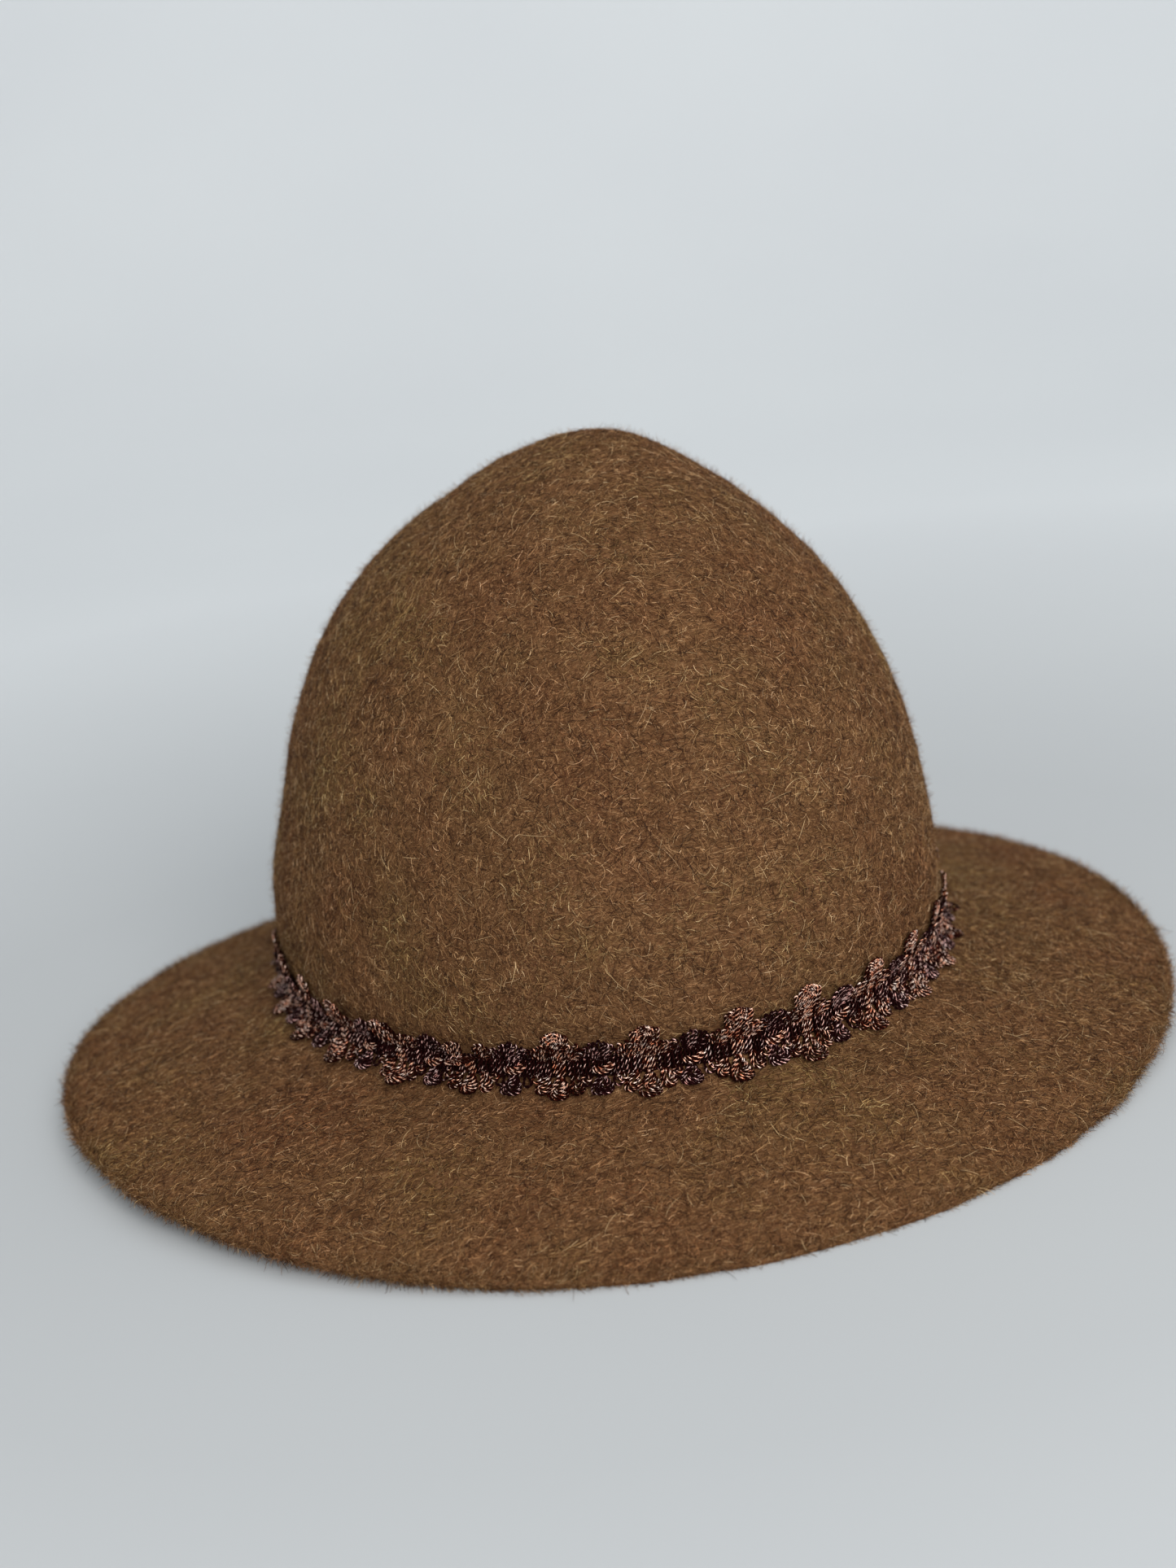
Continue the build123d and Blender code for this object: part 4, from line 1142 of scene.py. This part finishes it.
def leather_material():
    mat = Shader("sweatband_leather_grain")
    co, turn, up = round_coords(mat)
    flat = mat.join(turn, up)
    cells = mat.node("ShaderNodeTexVoronoi", feature="DISTANCE_TO_EDGE")
    mat.put(cells.inputs["Vector"], mat.map(co, scale=(1, 1, 0.75)))
    mat.put(cells.inputs["Scale"], 1150.0)
    grain = mat.remap(cells.outputs["Distance"], (0.0, 0.32))
    pores = mat.noise(co, scale=1700.0, detail=3.0, rough=0.6)
    crease = mat.noise(mat.map(flat, scale=(900, 90, 1)),
                       scale=1.0, detail=3.0, rough=0.6, distortion=0.8)
    cloud = mat.noise(co, scale=45.0, detail=4.0, rough=0.6)
    base = mat.ramp(
        cloud, (0.28, srgb(84, 49, 28)), (0.5, srgb(106, 65, 38)), (0.75, srgb(128, 83, 50)))
    base = mat.mix(mat.remap(grain, (0.0, 0.6), to=(0.55, 0.0)), base, srgb(52, 28, 15))
    base = mat.mix(mat.remap(crease, (0.60, 0.78), to=(0.0, 0.45)), base, srgb(62, 35, 20))
    # the handled upper edge is paler and the foot darker
    base = mat.mix(mat.remap(up, (0.047, 0.0545), to=(0.0, 0.40)), base, srgb(150, 104, 66))
    base = mat.mix(mat.remap(up, (0.030, 0.019), to=(0.0, 0.50)), base, srgb(58, 33, 19))
    relief = mat.add(mat.times(grain, 0.55), mat.times(pores, 0.35))
    normal = mat.bump(crease, strength=0.35, distance=0.0004)
    rough = mat.add(mat.remap(grain, (0.0, 1.0), to=(0.66, 0.42)),
                    mat.remap(cloud, (0.3, 0.7), to=(-0.05, 0.08)))
    return mat.finish(
        base=base, rough=rough, spec=0.45, coat=0.08, coat_rough=0.35,
        normal=mat.bump(relief, strength=0.55, distance=0.00016, normal=normal))


def satin_material(name, dark, mid, light):
    mat = Shader(name)
    co, turn, up = round_coords(mat)
    slub = mat.noise(mat.map(mat.join(turn, up), scale=(260, 9000, 1)), scale=1.0, rough=0.6)
    floats = mat.noise(mat.map(co, scale=(1600, 1600, 420)), scale=1.0, rough=0.6)
    cloud = mat.noise(co, scale=36.0, detail=3.0, rough=0.55)
    lines = weave(mat, turn, up, size=(0.000496, 0.00032))
    base = mat.ramp(cloud, (0.28, dark), (0.5, mid), (0.75, light))
    base = mat.mix(mat.remap(slub, (0.50, 0.72), to=(0.0, 0.55)), base, srgb(196, 156, 108))
    base = mat.mix(mat.remap(floats, (0.30, 0.60), to=(0.24, 0.0)), base, srgb(118, 80, 44))
    normal = mat.bump(cloud, strength=0.2, distance=0.0012)
    normal = mat.bump(slub, strength=0.4, distance=0.00009, normal=normal)
    return mat.finish(
        base=base, rough=mat.remap(mat.add(slub, floats), (0.7, 1.3), to=(0.24, 0.46)),
        spec=0.55, aniso=0.55, sheen=0.25, sheen_rough=0.35, sheen_tint=srgb(236, 206, 160),
        normal=mat.bump(lines, strength=0.35, distance=0.00005, normal=normal))


def cloth_material(name, dark, mid, light, size):
    mat = Shader(name)
    co, turn, up = round_coords(mat)
    cloth = weave(mat, turn, up, size)
    fuzz = mat.noise(co, scale=2200.0, detail=3.0, rough=0.65)
    cloud = mat.noise(co, scale=90.0, detail=3.0, rough=0.55)
    tone = mat.add(mat.times(cloth, 0.45), mat.add(mat.times(fuzz, 0.35), mat.times(cloud, 0.25)))
    normal = mat.bump(cloth, strength=0.7, distance=0.00016)
    return mat.finish(
        base=mat.ramp(tone, (0.25, dark), (0.55, mid), (0.85, light)),
        rough=mat.remap(fuzz, (0.3, 0.7), to=(0.65, 0.85)),
        spec=0.25, sheen=0.15, sheen_rough=0.4,
        normal=mat.bump(fuzz, strength=0.5, distance=0.00008, normal=normal))


def grosgrain_material():
    mat = Shader("bow_grosgrain")
    co = mat.coords()
    up = mat.split(co)[2]
    run = mat.attribute("run")
    ribs = wave(mat, run, 0.00048)
    threads = weave(mat, run, up, size=(0.00096, 0.00030))
    fuzz = mat.noise(co, scale=2400.0, detail=3.0, rough=0.6)
    cloud = mat.noise(co, scale=160.0, detail=3.0, rough=0.55)
    tone = mat.add(mat.times(ribs, 0.5), mat.add(mat.times(fuzz, 0.3), mat.times(cloud, 0.25)))
    base = mat.ramp(
        tone, (0.25, srgb(34, 20, 14)), (0.55, srgb(66, 42, 28)), (0.85, srgb(104, 72, 50)))
    normal = mat.bump(ribs, strength=0.8, distance=0.00018)
    return mat.finish(
        base=base, rough=mat.remap(ribs, (0.0, 1.0), to=(0.62, 0.40)), spec=0.4,
        sheen=0.2, sheen_rough=0.35, sheen_tint=srgb(190, 150, 110),
        normal=mat.bump(threads, strength=0.3, distance=0.00006, normal=normal))


def thread_material(name, dark, light):
    mat = Shader(name)
    co = mat.coords()
    lint = mat.noise(co, scale=2600.0, detail=3.0, rough=0.65)
    # painted light: the outer side of each ply is painted lighter and the rest darker
    shade = mat.add(mat.times(mat.attribute("crest"), 0.6), mat.times(lint, 0.4))
    return mat.finish(
        base=mat.ramp(shade, (0.3, dark), (0.7, light)),
        rough=mat.remap(lint, (0.3, 0.7), to=(0.45, 0.7)), spec=0.35, sheen=0.1,
        normal=mat.bump(lint, strength=0.5, distance=0.00005))


def reed_material():
    mat = Shader("reed_vinyl")
    co, turn, up = round_coords(mat)
    streak = mat.noise(mat.map(mat.join(turn, up), scale=(40, 2600, 1)),
                       scale=1.0, detail=3.0, rough=0.6)
    cloud = mat.noise(co, scale=120.0)
    shade = mat.add(mat.times(streak, 0.6), mat.times(cloud, 0.4))
    return mat.finish(
        base=mat.ramp(shade, (0.3, srgb(150, 138, 112)), (0.7, srgb(186, 174, 146))),
        rough=mat.remap(streak, (0.3, 0.7), to=(0.28, 0.5)), spec=0.5,
        coat=0.15, coat_rough=0.25, normal=mat.bump(streak, strength=0.3, distance=0.00006))


sew_mat = thread_material("sewing_thread_twist", srgb(46, 28, 17), srgb(112, 80, 54))
lining_thread_mat = thread_material("lining_thread_twist", srgb(96, 64, 36), srgb(180, 138, 92))

# ------------------------------------------------------------------ inside of the hat
DETAIL = 1.0
# layers inside the felt, as depths below its outside
GAP, CLOTH = 0.15, 0.35
FIRST_MIDDLE = FELT + GAP + CLOTH / 2
SECOND_START = FELT + GAP + CLOTH + GAP
SECOND_MIDDLE = SECOND_START + CLOTH / 2
LEATHER_START = FELT + 1.45
OPEN_ANGLE = 1.5 / HEAD_HALF_W  # half of the opening in the leather, at the back


def full_turn(count):
    return np.linspace(0, 2 * pi, int(count * DETAIL), endpoint=False)


class Thread(Strands):
    """Two-ply sewing thread along given paths."""

    def add(self, path, out, radius, pitch=0.9, closed=False, sides=6):
        out = np.broadcast_to(out, path.shape)
        if closed:
            tangent = np.roll(path, -1, 0) - np.roll(path, 1, 0)
        else:
            tangent = np.gradient(path, axis=0)
        axes = section_axes(tangent, out)
        ends = np.vstack([path, path[:1]]) if closed else path
        steps = np.linalg.norm(np.diff(ends, axis=0), axis=1)
        length = np.concatenate([[0], np.cumsum(steps)])
        total = length[-1]
        turns = max(1, round(total / pitch)) if closed else total / pitch
        around = np.arange(sides) * 2 * pi / sides
        for k in range(2):
            twist = (2 * pi * turns * length[:len(path)] / total + k * pi)[:, None]
            centre = path + 0.46 * radius * (cos(twist) * axes[0] + sin(twist) * axes[1])
            # painted light: each ply is painted lighter where it lies on the outer side of the
            # thread and faces out, darker beneath
            self.tube(centre, axes, 0.54 * radius, around, closed,
                      crest=0.5 + 0.27 * sin(twist) + 0.23 * sin(around))


def build_leather():
    """Sweatband, open at the back."""
    angles = np.linspace(BACK + OPEN_ANGLE, BACK + 2 * pi - OPEN_ANGLE, int(700 * DETAIL))
    heights = np.concatenate([np.linspace(-0.95, 31.9, 46), [32.25, 32.6, 32.85, 33.0]])
    angle, height = np.meshgrid(angles, heights)
    ease = Waves(51, short=14, long=70, count=24)
    ripple = ease(np.stack([MEAN_R * cos(angle), MEAN_R * sin(angle), height * 0.5], -1))
    depth = LEATHER_START + 0.55 + 0.26 * ripple * smooth(height, 8, 33)
    # the two ends curl in a little beside the opening
    from_end = np.minimum(angle - angles[0], angles[-1] - angle) * MEAN_R
    depth = depth + 0.9 * np.exp(-from_end / 5.0) * smooth(height, 20, 33)
    # a pressed line just under the edge, and a swell above it
    depth = depth + 0.16 * np.exp(-(((height - 29.6) / 0.42) ** 2))
    depth = depth - 0.10 * np.exp(-(((height - 31.2) / 0.9) ** 2))
    thickness = np.interp(
        heights, [-0.95, -0.6, 0, 31.9, 32.25, 32.6, 32.85, 33.0],
        [0.70, 0.95, 1.08, 1.08, 1.02, 0.88, 0.62, 0.40])[:, None]
    piece("sweatband_leather_skin", thick_sheet(skin(angle, height, depth), thickness),
          leather_material(), "sweatband_leather", "sweatband_leather")


def build_foot_stitches():
    """Row along the foot of the leather; each stitch dips into it at both ends."""
    foot = Thread("sweatband_foot_stitches")
    count = 190
    s = np.linspace(-1, 1, 9)
    for k in range(count):
        middle = BACK + OPEN_ANGLE * 1.8 + (2 * pi - 3.6 * OPEN_ANGLE) * (k + 0.5) / count
        angle = middle + 1.15 / MEAN_R * s
        dip_in = 0.42 * np.clip(np.abs(s) - 0.70, 0, 1) / 0.30
        depth = LEATHER_START + 1.09 + 0.17 - dip_in
        foot.add(skin(angle, 1.9 + 0.10 * s * (-1) ** k, depth), -oval_normal(angle), radius=0.19)
    foot.build(sew_mat, "sewing_thread")


def build_stitch_links():
    """Closed links of thread that hold the sweatband to the felt."""
    links = Thread("sweatband_stitch_links")
    count, half, corner = 24, 2.0, 0.45
    inside, outside = -(FELT + GAP + CLOTH + 0.16 + 0.28), 0.12 + 0.28
    # rounded rectangle: along the wall, out of the wall
    outline = []
    for x, out, start in (
            (half - corner, outside - corner, 0), (-half + corner, outside - corner, 90),
            (-half + corner, inside + corner, 180), (half - corner, inside + corner, 270)):
        for swing in radians(np.linspace(start, start + 90, 7)):
            outline.append((x + corner * cos(swing), out + corner * sin(swing)))
    outline = np.array(outline)
    path = []
    for here, following in zip(outline, np.roll(outline, -1, 0)):
        steps = max(1, int(np.hypot(*(following - here)) / 0.22))
        path += [here + (following - here) * k / steps for k in range(steps)]
    path = np.array(path)
    for k in range(count):
        angle = angle_at(np.array([BRAID_LEN * (k + 0.5) / count]))
        out = oval_normal(angle)[0]
        along = np.array([-out[1], out[0], 0.0])
        link = wall(angle, 10.3)[0] + path[:, :1] * along + path[:, 1:] * out
        links.add(link, np.array([0, 0, 1.0]), radius=0.27, pitch=1.0, closed=True)
    links.build(sew_mat, "sewing_thread", "sweatband_stitches")


def build_reed_tape():
    """Tape that hangs down the wall and turns under the reed."""
    angle = full_turn(720)
    reed_r = 0.9
    reed_out = -(SECOND_START + reed_r)
    turn_r = reed_r + GAP + CLOTH / 2
    rows = []
    for height in np.linspace(12.0, -1.6, 22):
        share = smooth(height, -2.1, 1.5)
        rows.append(skin(angle, height, FIRST_MIDDLE) * share
                    + head_point(angle, reed_out + turn_r, height) * (1 - share))
    for swing in radians(np.linspace(0, 180, 22)):
        rows.append(head_point(angle, reed_out + turn_r * cos(swing), -2.1 - turn_r * sin(swing)))
    tape = np.array(rows)
    ripple = Waves(52, short=5, long=30, count=24)(tape) * 0.035
    ripple = ripple + 0.03 * sin(np.arange(len(tape)) * 2.4)[:, None]
    tape = tape + ripple[..., None] * oval_normal(angle)[None]
    tape_mat = cloth_material(
        "reed_tape_twill", srgb(44, 26, 15), srgb(78, 50, 31), srgb(112, 78, 52),
        size=(0.0009, 0.0007))
    piece("reed_tape_cloth", thick_sheet(tape, 0.33, wrap_cols=True), tape_mat,
          "reed_tape", "sweatband_reed_tape")


drift = Waves(53, short=30, long=120, count=20)
amount = Waves(54, short=18, long=60, count=20)
SATIN = 0.30
SEAM_H = 85.0


def build_side_lining():
    """Gathered side of the lining."""
    heights = [np.linspace(12.6, 34, 12), np.linspace(36, 84, 34), np.linspace(SEAM_H, 92, 8)]
    angle, height = np.meshgrid(full_turn(1080), np.concatenate(heights))
    where = np.stack([MEAN_R * cos(angle), MEAN_R * sin(angle), height * 0.22], -1)
    fold = 0.5 + 0.5 * sin(72 * angle + 1.3 * drift(where) + 0.006 * height)
    broad = 0.5 + 0.5 * sin(41 * angle + 1.5 * drift(where + 300))
    pleat = fold**1.5 * (0.75 + 0.25 * np.tanh(amount(where))) + 0.35 * broad
    size = 0.12 + 0.28 * smooth(height, 14, 34) + 2.0 * smooth(height, 34, 60)
    size = size * (1 - smooth(height, 74, 84.6)) + 0.05
    # below 34 the sweatband leaves little room
    lift = np.minimum(size * pleat, np.where(height < 34, 0.62, 9))
    satin = satin_material(
        "lining_satin_side", srgb(134, 94, 54), srgb(148, 106, 63), srgb(166, 124, 78))
    sheet = thick_sheet(skin(angle, height, FIRST_MIDDLE + lift), SATIN, wrap_cols=True)
    piece("lining_side_satin", sheet, satin, "satin_lining", "lining_side")


def build_tip_lining():
    """Puckered rim under the crown, closed by a slightly hanging round top."""
    top_h = 130.5
    angle, height = np.meshgrid(full_turn(1080), np.linspace(86, top_h, 40))
    where = np.stack([MEAN_R * cos(angle), MEAN_R * sin(angle), height * 0.3], -1)
    pucker = 0.5 + 0.5 * sin(96 * angle + 1.2 * drift(where + 90))
    pucker = pucker * (0.75 + 0.25 * np.tanh(amount(where + 70)))
    depth = SECOND_MIDDLE + 0.75 * pucker * smooth(height, 88, 92) * (1 - smooth(height, 92, 112))
    depth = depth + 0.35 * np.clip(drift(where + 200), 0, 2) * smooth(height, 96, 118)
    sheet = skin(angle, height, depth)
    z_top = BREAK_Z + top_h - 2.0 - (SECOND_MIDDLE - FELT)
    drop = smooth(height, 112, top_h)
    sheet[..., 2] = sheet[..., 2] * (1 - drop) + np.minimum(sheet[..., 2], z_top) * drop
    rim = sheet[-1]
    centre = rim.mean(0)
    rings = []
    for share in np.linspace(1, 0.02, 16)[1:]:
        ring = centre + (rim - centre) * share
        hang = 0.9 * (1 - share**2)
        ring[:, 2] = (rim[:, 2] * share + (z_top - 0.5) * (1 - share) - hang
                      + 0.10 * drift(ring * 1.6))
        rings.append(ring)
    sheet = np.concatenate([sheet, np.array(rings)])
    verts, faces = thick_sheet(sheet, SATIN, wrap_cols=True)
    # the innermost ring is closed by fans above and below instead of an edge
    cols = sheet.shape[1]
    size = len(sheet) * cols
    middle, half = sheet[-1].mean(0), np.array([0, 0, SATIN / 2])
    verts = np.vstack([verts, middle + half, middle - half])
    near = size - cols + np.arange(cols)
    far = size - cols + (np.arange(cols) + 1) % cols
    faces = faces[:3] + [
        np.stack([near, far, np.full(cols, 2 * size)], 1),
        np.stack([size + far, size + near, np.full(cols, 2 * size + 1)], 1),
    ]
    satin = satin_material(
        "lining_satin_tip", srgb(137, 97, 57), srgb(151, 109, 66), srgb(169, 127, 81))
    piece("lining_tip_satin", (verts, faces), satin, "satin_lining", "lining_tip")


def build_lining_seam():
    """Thread between the side and the tip of the lining, with its overcast stitches."""
    seam = Thread("lining_seam_twist")
    angle = full_turn(2200)
    path = skin(angle, SEAM_H + 0.12 * sin(60 * angle), SECOND_START + 0.2 + 0.08)
    seam.add(path, -oval_normal(angle), radius=0.20, pitch=1.0, closed=True, sides=5)
    seam.build(lining_thread_mat, "sewing_thread", "lining_seam_thread")
    over = Thread("lining_seam_stitches")
    s = np.linspace(-1, 1, 9)
    for k in range(240):
        angle = 2 * pi * (k + 0.5) / 240 + 0.006 * s
        path = skin(angle, SEAM_H + 0.9 + 1.0 * s, SECOND_START + CLOTH + 0.32 - 0.35 * s**4)
        over.add(path, -oval_normal(angle), radius=0.13, pitch=0.7, sides=5)
    over.build(lining_thread_mat, "sewing_thread")


build_leather()
build_foot_stitches()
build_stitch_links()
build_reed_tape()
build_side_lining()
build_tip_lining()
build_lining_seam()

# ------------------------------------------------------------------ bow over the leather's opening
BOW_Y = CROWN_Y + HEAD_HALF_L - (LEATHER_START + 1.1 + 0.35)
BOW_Z = BREAK_Z + 15.0
ribbon_mat = grosgrain_material()


def bow_point(along, up, inward):
    return np.stack(np.broadcast_arrays(CROWN_X + along, BOW_Y - inward, BOW_Z + up), -1)


def ribbon(name, node, parts):
    """Ribbon of several parts: middle surface, length along the ribbon, whether it closes."""
    verts, faces, runs, count = [], [], [], 0
    for middle, run, wrap in parts:
        part_verts, part_faces = thick_sheet(middle, 0.40, wrap_cols=wrap)
        verts.append(part_verts)
        faces += [part + count for part in part_faces]
        runs += [run.ravel() * MM] * 2
        count += len(part_verts)
    piece(name, (np.concatenate(verts), faces), ribbon_mat, "bow_ribbon", node, run=runs)


def bow_loop(side):
    around = np.linspace(0, 2 * pi, 72, endpoint=False)
    turn, width = np.meshgrid(around, np.linspace(-1, 1, 17))
    along = 6.6 - 6.0 * cos(turn)
    opening = 2.1 * sin(turn) * (0.35 + 0.65 * smooth(along, 0.6, 9))
    half = 2.5 * (0.58 + 0.42 * smooth(along, 0.6, 7.5))
    folds = 0.252 * cos(3 * pi * width * 0.5) * np.exp(-along / 2.8)
    sag = -0.35 * smooth(along, 2, 12.6)
    return bow_point(side * along, half * width + sag, 2.45 + opening + folds), side * along, True


def bow_tail(side):
    """Hanging end with a swallow-tail cut."""
    share, width = np.meshgrid(np.linspace(0, 1, 46), np.linspace(-1, 1, 15))
    run = share * (15.9 - 2.0 * (1 - np.abs(width)) * smooth(share, 0.55, 1.0))
    half = 2.1 * (0.62 + 0.38 * smooth(run, 0, 5))
    splay = side * radians(24)
    lean = splay + side * 0.10 * sin(2.2 * share)
    along = run * sin(lean) + half * width * cos(splay)
    up = -run * cos(lean) + half * width * sin(splay)
    inward = 2.15 - 0.75 * smooth(share, 0.0, 0.35)
    inward = inward + 0.36 * sin(5.0 * share + side) * smooth(share, 0.15, 0.8)
    inward = inward + 0.22 * width * sin(4.0 * share)
    inward = inward + 0.25 * cos(1.5 * pi * width) * np.exp(-run / 2.5)
    return bow_point(along, up, np.maximum(inward, 0.9)), run, False


def bow_knot():
    """Folded band round the middle."""
    around = np.linspace(0, 2 * pi, 40, endpoint=False)
    turn, width = np.meshgrid(around, np.linspace(-1, 1, 13))
    half = 1.15 * (1 - 0.10 * cos(2 * turn))
    inward = 2.75 + 1.45 * cos(turn) - 0.28 * width**2 + 0.12 * cos(2.5 * pi * width)
    return bow_point(half * width, 2.75 * sin(turn), inward), turn * 2.2, True


ribbon("bow_ribbon_cloth", "sweatband_bow_ribbon",
       [shape(side) for shape in (bow_loop, bow_tail) for side in (-1, 1)])
ribbon("bow_knot_cloth", "sweatband_bow_knot", [bow_knot()])


# ------------------------------------------------------------------ braid patch and reed
def build_join_patch():
    """Patch behind the joint of the braid."""
    half = 5.0 / HEAD_HALF_W
    angle, height = np.meshgrid(
        np.linspace(BACK - half, BACK + half, 60), np.linspace(4.9, 8.3, 24))
    out = 0.24 + 0.02 * sin(angle * 900) * sin(height * 12)
    cotton = cloth_material(
        "join_patch_cotton", srgb(20, 10, 12), srgb(42, 24, 26), srgb(70, 46, 46),
        size=(0.0006, 0.0006))
    piece("braid_join_cloth", thick_sheet(head_point(angle, out, height), 0.20), cotton,
          "join_patch", "braid_join_patch")


build_join_patch()

# the reed keeps its CAD shape
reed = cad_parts["sweatband_reed"]
reed.data.materials.clear()
reed.data.materials.append(reed_material())


# ------------------------------------------------------------------ stage
def stage_material():
    mat = Shader("backdrop_paper")
    mottle = mat.noise(mat.coords(), scale=3.0)
    away = mat.node("ShaderNodeVectorMath", operation="LENGTH")
    mat.put(away.inputs[0], mat.coords())
    # painted shade: the paper is painted darker near the hat and paler further away
    tone = mat.mix(mat.remap(away.outputs["Value"], (0.22, 0.75)),
                   srgb(192, 195, 197), srgb(229, 232, 234))
    # painted shade: the paper is painted darker towards the key light, which stands in front of the
    # hat, where that light falls on it most strongly
    lamp = mat.node("ShaderNodeVectorMath", operation="DISTANCE")
    mat.put(lamp.inputs[0], mat.coords())
    mat.put(lamp.inputs[1], (-0.35, -2.1, 0.0))
    tone = mat.tinted(tone, mat.ramp(
        mat.remap(lamp.outputs["Value"], (0.0, 1.7)),
        (0.0, grey(0.33)), (0.5, grey(0.38)), (0.78, grey(0.66)), (1.0, grey(1.0))))
    mottle = mat.ramp(mottle, (0.3, (0.97, 0.97, 0.975)), (0.7, grey(1.0)))
    return mat.finish(base=mat.tinted(tone, mottle), rough=0.9, spec=0.1)


# section of the backdrop: distance towards the back, height
BACKDROP = [
    (-3000, -0.05), (600, -0.05), (1000, 8.0), (1300, 60.0), (1560, 180.0), (1750, 380.0),
    (1840, 620.0), (1880, 900.0), (1900, 3200.0),
]


def build_backdrop():
    columns = np.linspace(-4000, 4000, 9)
    points = np.array([[x, y, z] for (y, z) in BACKDROP for x in columns])
    yaw = radians(-17.6)
    rotation = np.array([[cos(yaw), -sin(yaw), 0], [sin(yaw), cos(yaw), 0], [0, 0, 1]])
    faces = grid_faces(len(BACKDROP), len(columns), wrap_cols=False)[:, ::-1]
    floor = new_object("backdrop", points @ rotation.T, [faces])
    floor.data.materials.append(stage_material())
    soft = floor.modifiers.new("soft", "SUBSURF")
    soft.levels = soft.render_levels = 3


build_backdrop()


# ------------------------------------------------------------------ lights
def area_light(name, location, target, size, power, colour):
    data = bpy.data.lights.new(name, "AREA")
    data.energy = power
    data.color = colour
    data.size = size
    aim = (Vector(target) - Vector(location)).to_track_quat("-Z", "Y").to_euler()
    light = bpy.data.objects.new(name, data)
    light.location = location
    light.rotation_euler = aim
    bpy.context.scene.collection.objects.link(light)


area_light("key", location=(-0.12, -1.99, 1.08), target=(0, 0, 0.08),
           size=1.25, power=43, colour=(1.0, 0.985, 0.965))
area_light("fill", location=(1.6, -0.9, 0.9), target=(0, 0, 0.08),
           size=1.6, power=3.5, colour=(0.97, 0.99, 1.0))
area_light("top", location=(0.1, 0.2, 2.1), target=(0, 0, 0.1),
           size=2.0, power=7, colour=(1.0, 0.96, 0.90))

scene = bpy.context.scene
world = bpy.data.worlds.new("studio")
world.use_nodes = True
background = world.node_tree.nodes["Background"]
background.inputs["Color"].default_value = (*srgb(226, 232, 236), 1)
background.inputs["Strength"].default_value = 0.60
scene.world = world

# ------------------------------------------------------------------ camera
VIEW_YAW, VIEW_PITCH, VIEW_ROLL = 0.3066417, 0.2706442, -0.1404213  # radians
VIEW_DISTANCE = 591.4556  # mm
VIEW_TARGET = (1.0693, 0, 44.7757)  # mm from the middle of the crown at BREAK_Z, before the yaw


def yawed(x, y, z):
    """Vector in the camera's heading turned to the hat's axes."""
    return Vector((x * cos(VIEW_YAW) + y * sin(VIEW_YAW),
                   -x * sin(VIEW_YAW) + y * cos(VIEW_YAW), z))


def camera_matrix():
    backward = yawed(0, -cos(VIEW_PITCH), sin(VIEW_PITCH))
    level = yawed(1, 0, 0)
    upright = yawed(0, sin(VIEW_PITCH), cos(VIEW_PITCH))
    right = cos(VIEW_ROLL) * level + sin(VIEW_ROLL) * upright
    up = -sin(VIEW_ROLL) * level + cos(VIEW_ROLL) * upright
    target = yawed(*VIEW_TARGET) + Vector((CROWN_X, CROWN_Y, BREAK_Z))
    location = (target + backward * VIEW_DISTANCE) * MM
    matrix = Matrix.Identity(4)
    for column, vector in enumerate((right, up, backward, location)):
        for row in range(3):
            matrix[row][column] = vector[row]
    return matrix


lens = bpy.data.cameras.new("camera")
lens.sensor_width = 36.0
lens.lens = 50.5073835
lens.clip_start, lens.clip_end = 0.05, 50.0
camera = bpy.data.objects.new("camera", lens)
camera.matrix_world = camera_matrix()
scene.collection.objects.link(camera)
scene.camera = camera

# the lens is focused on the side of the crown nearest the camera, wherever the camera stands
middle = bpy.data.objects.new("focus_middle", None)
middle.location = Vector((CROWN_X, CROWN_Y, BREAK_Z + 20.0)) * MM
scene.collection.objects.link(middle)
focus = add_to_scene("focus", None)
follow = focus.constraints.new("COPY_LOCATION")
follow.target = camera
near = focus.constraints.new("LIMIT_DISTANCE")
near.target = middle
near.distance = 0.092
near.limit_mode = "LIMITDIST_INSIDE"
lens.dof.use_dof = True
lens.dof.focus_object = focus
lens.dof.aperture_fstop = 10.0

scene.view_settings.view_transform = "Standard"
scene.view_settings.look = "None"
scene.view_settings.exposure = 0.0

bpy.context.view_layer.update()
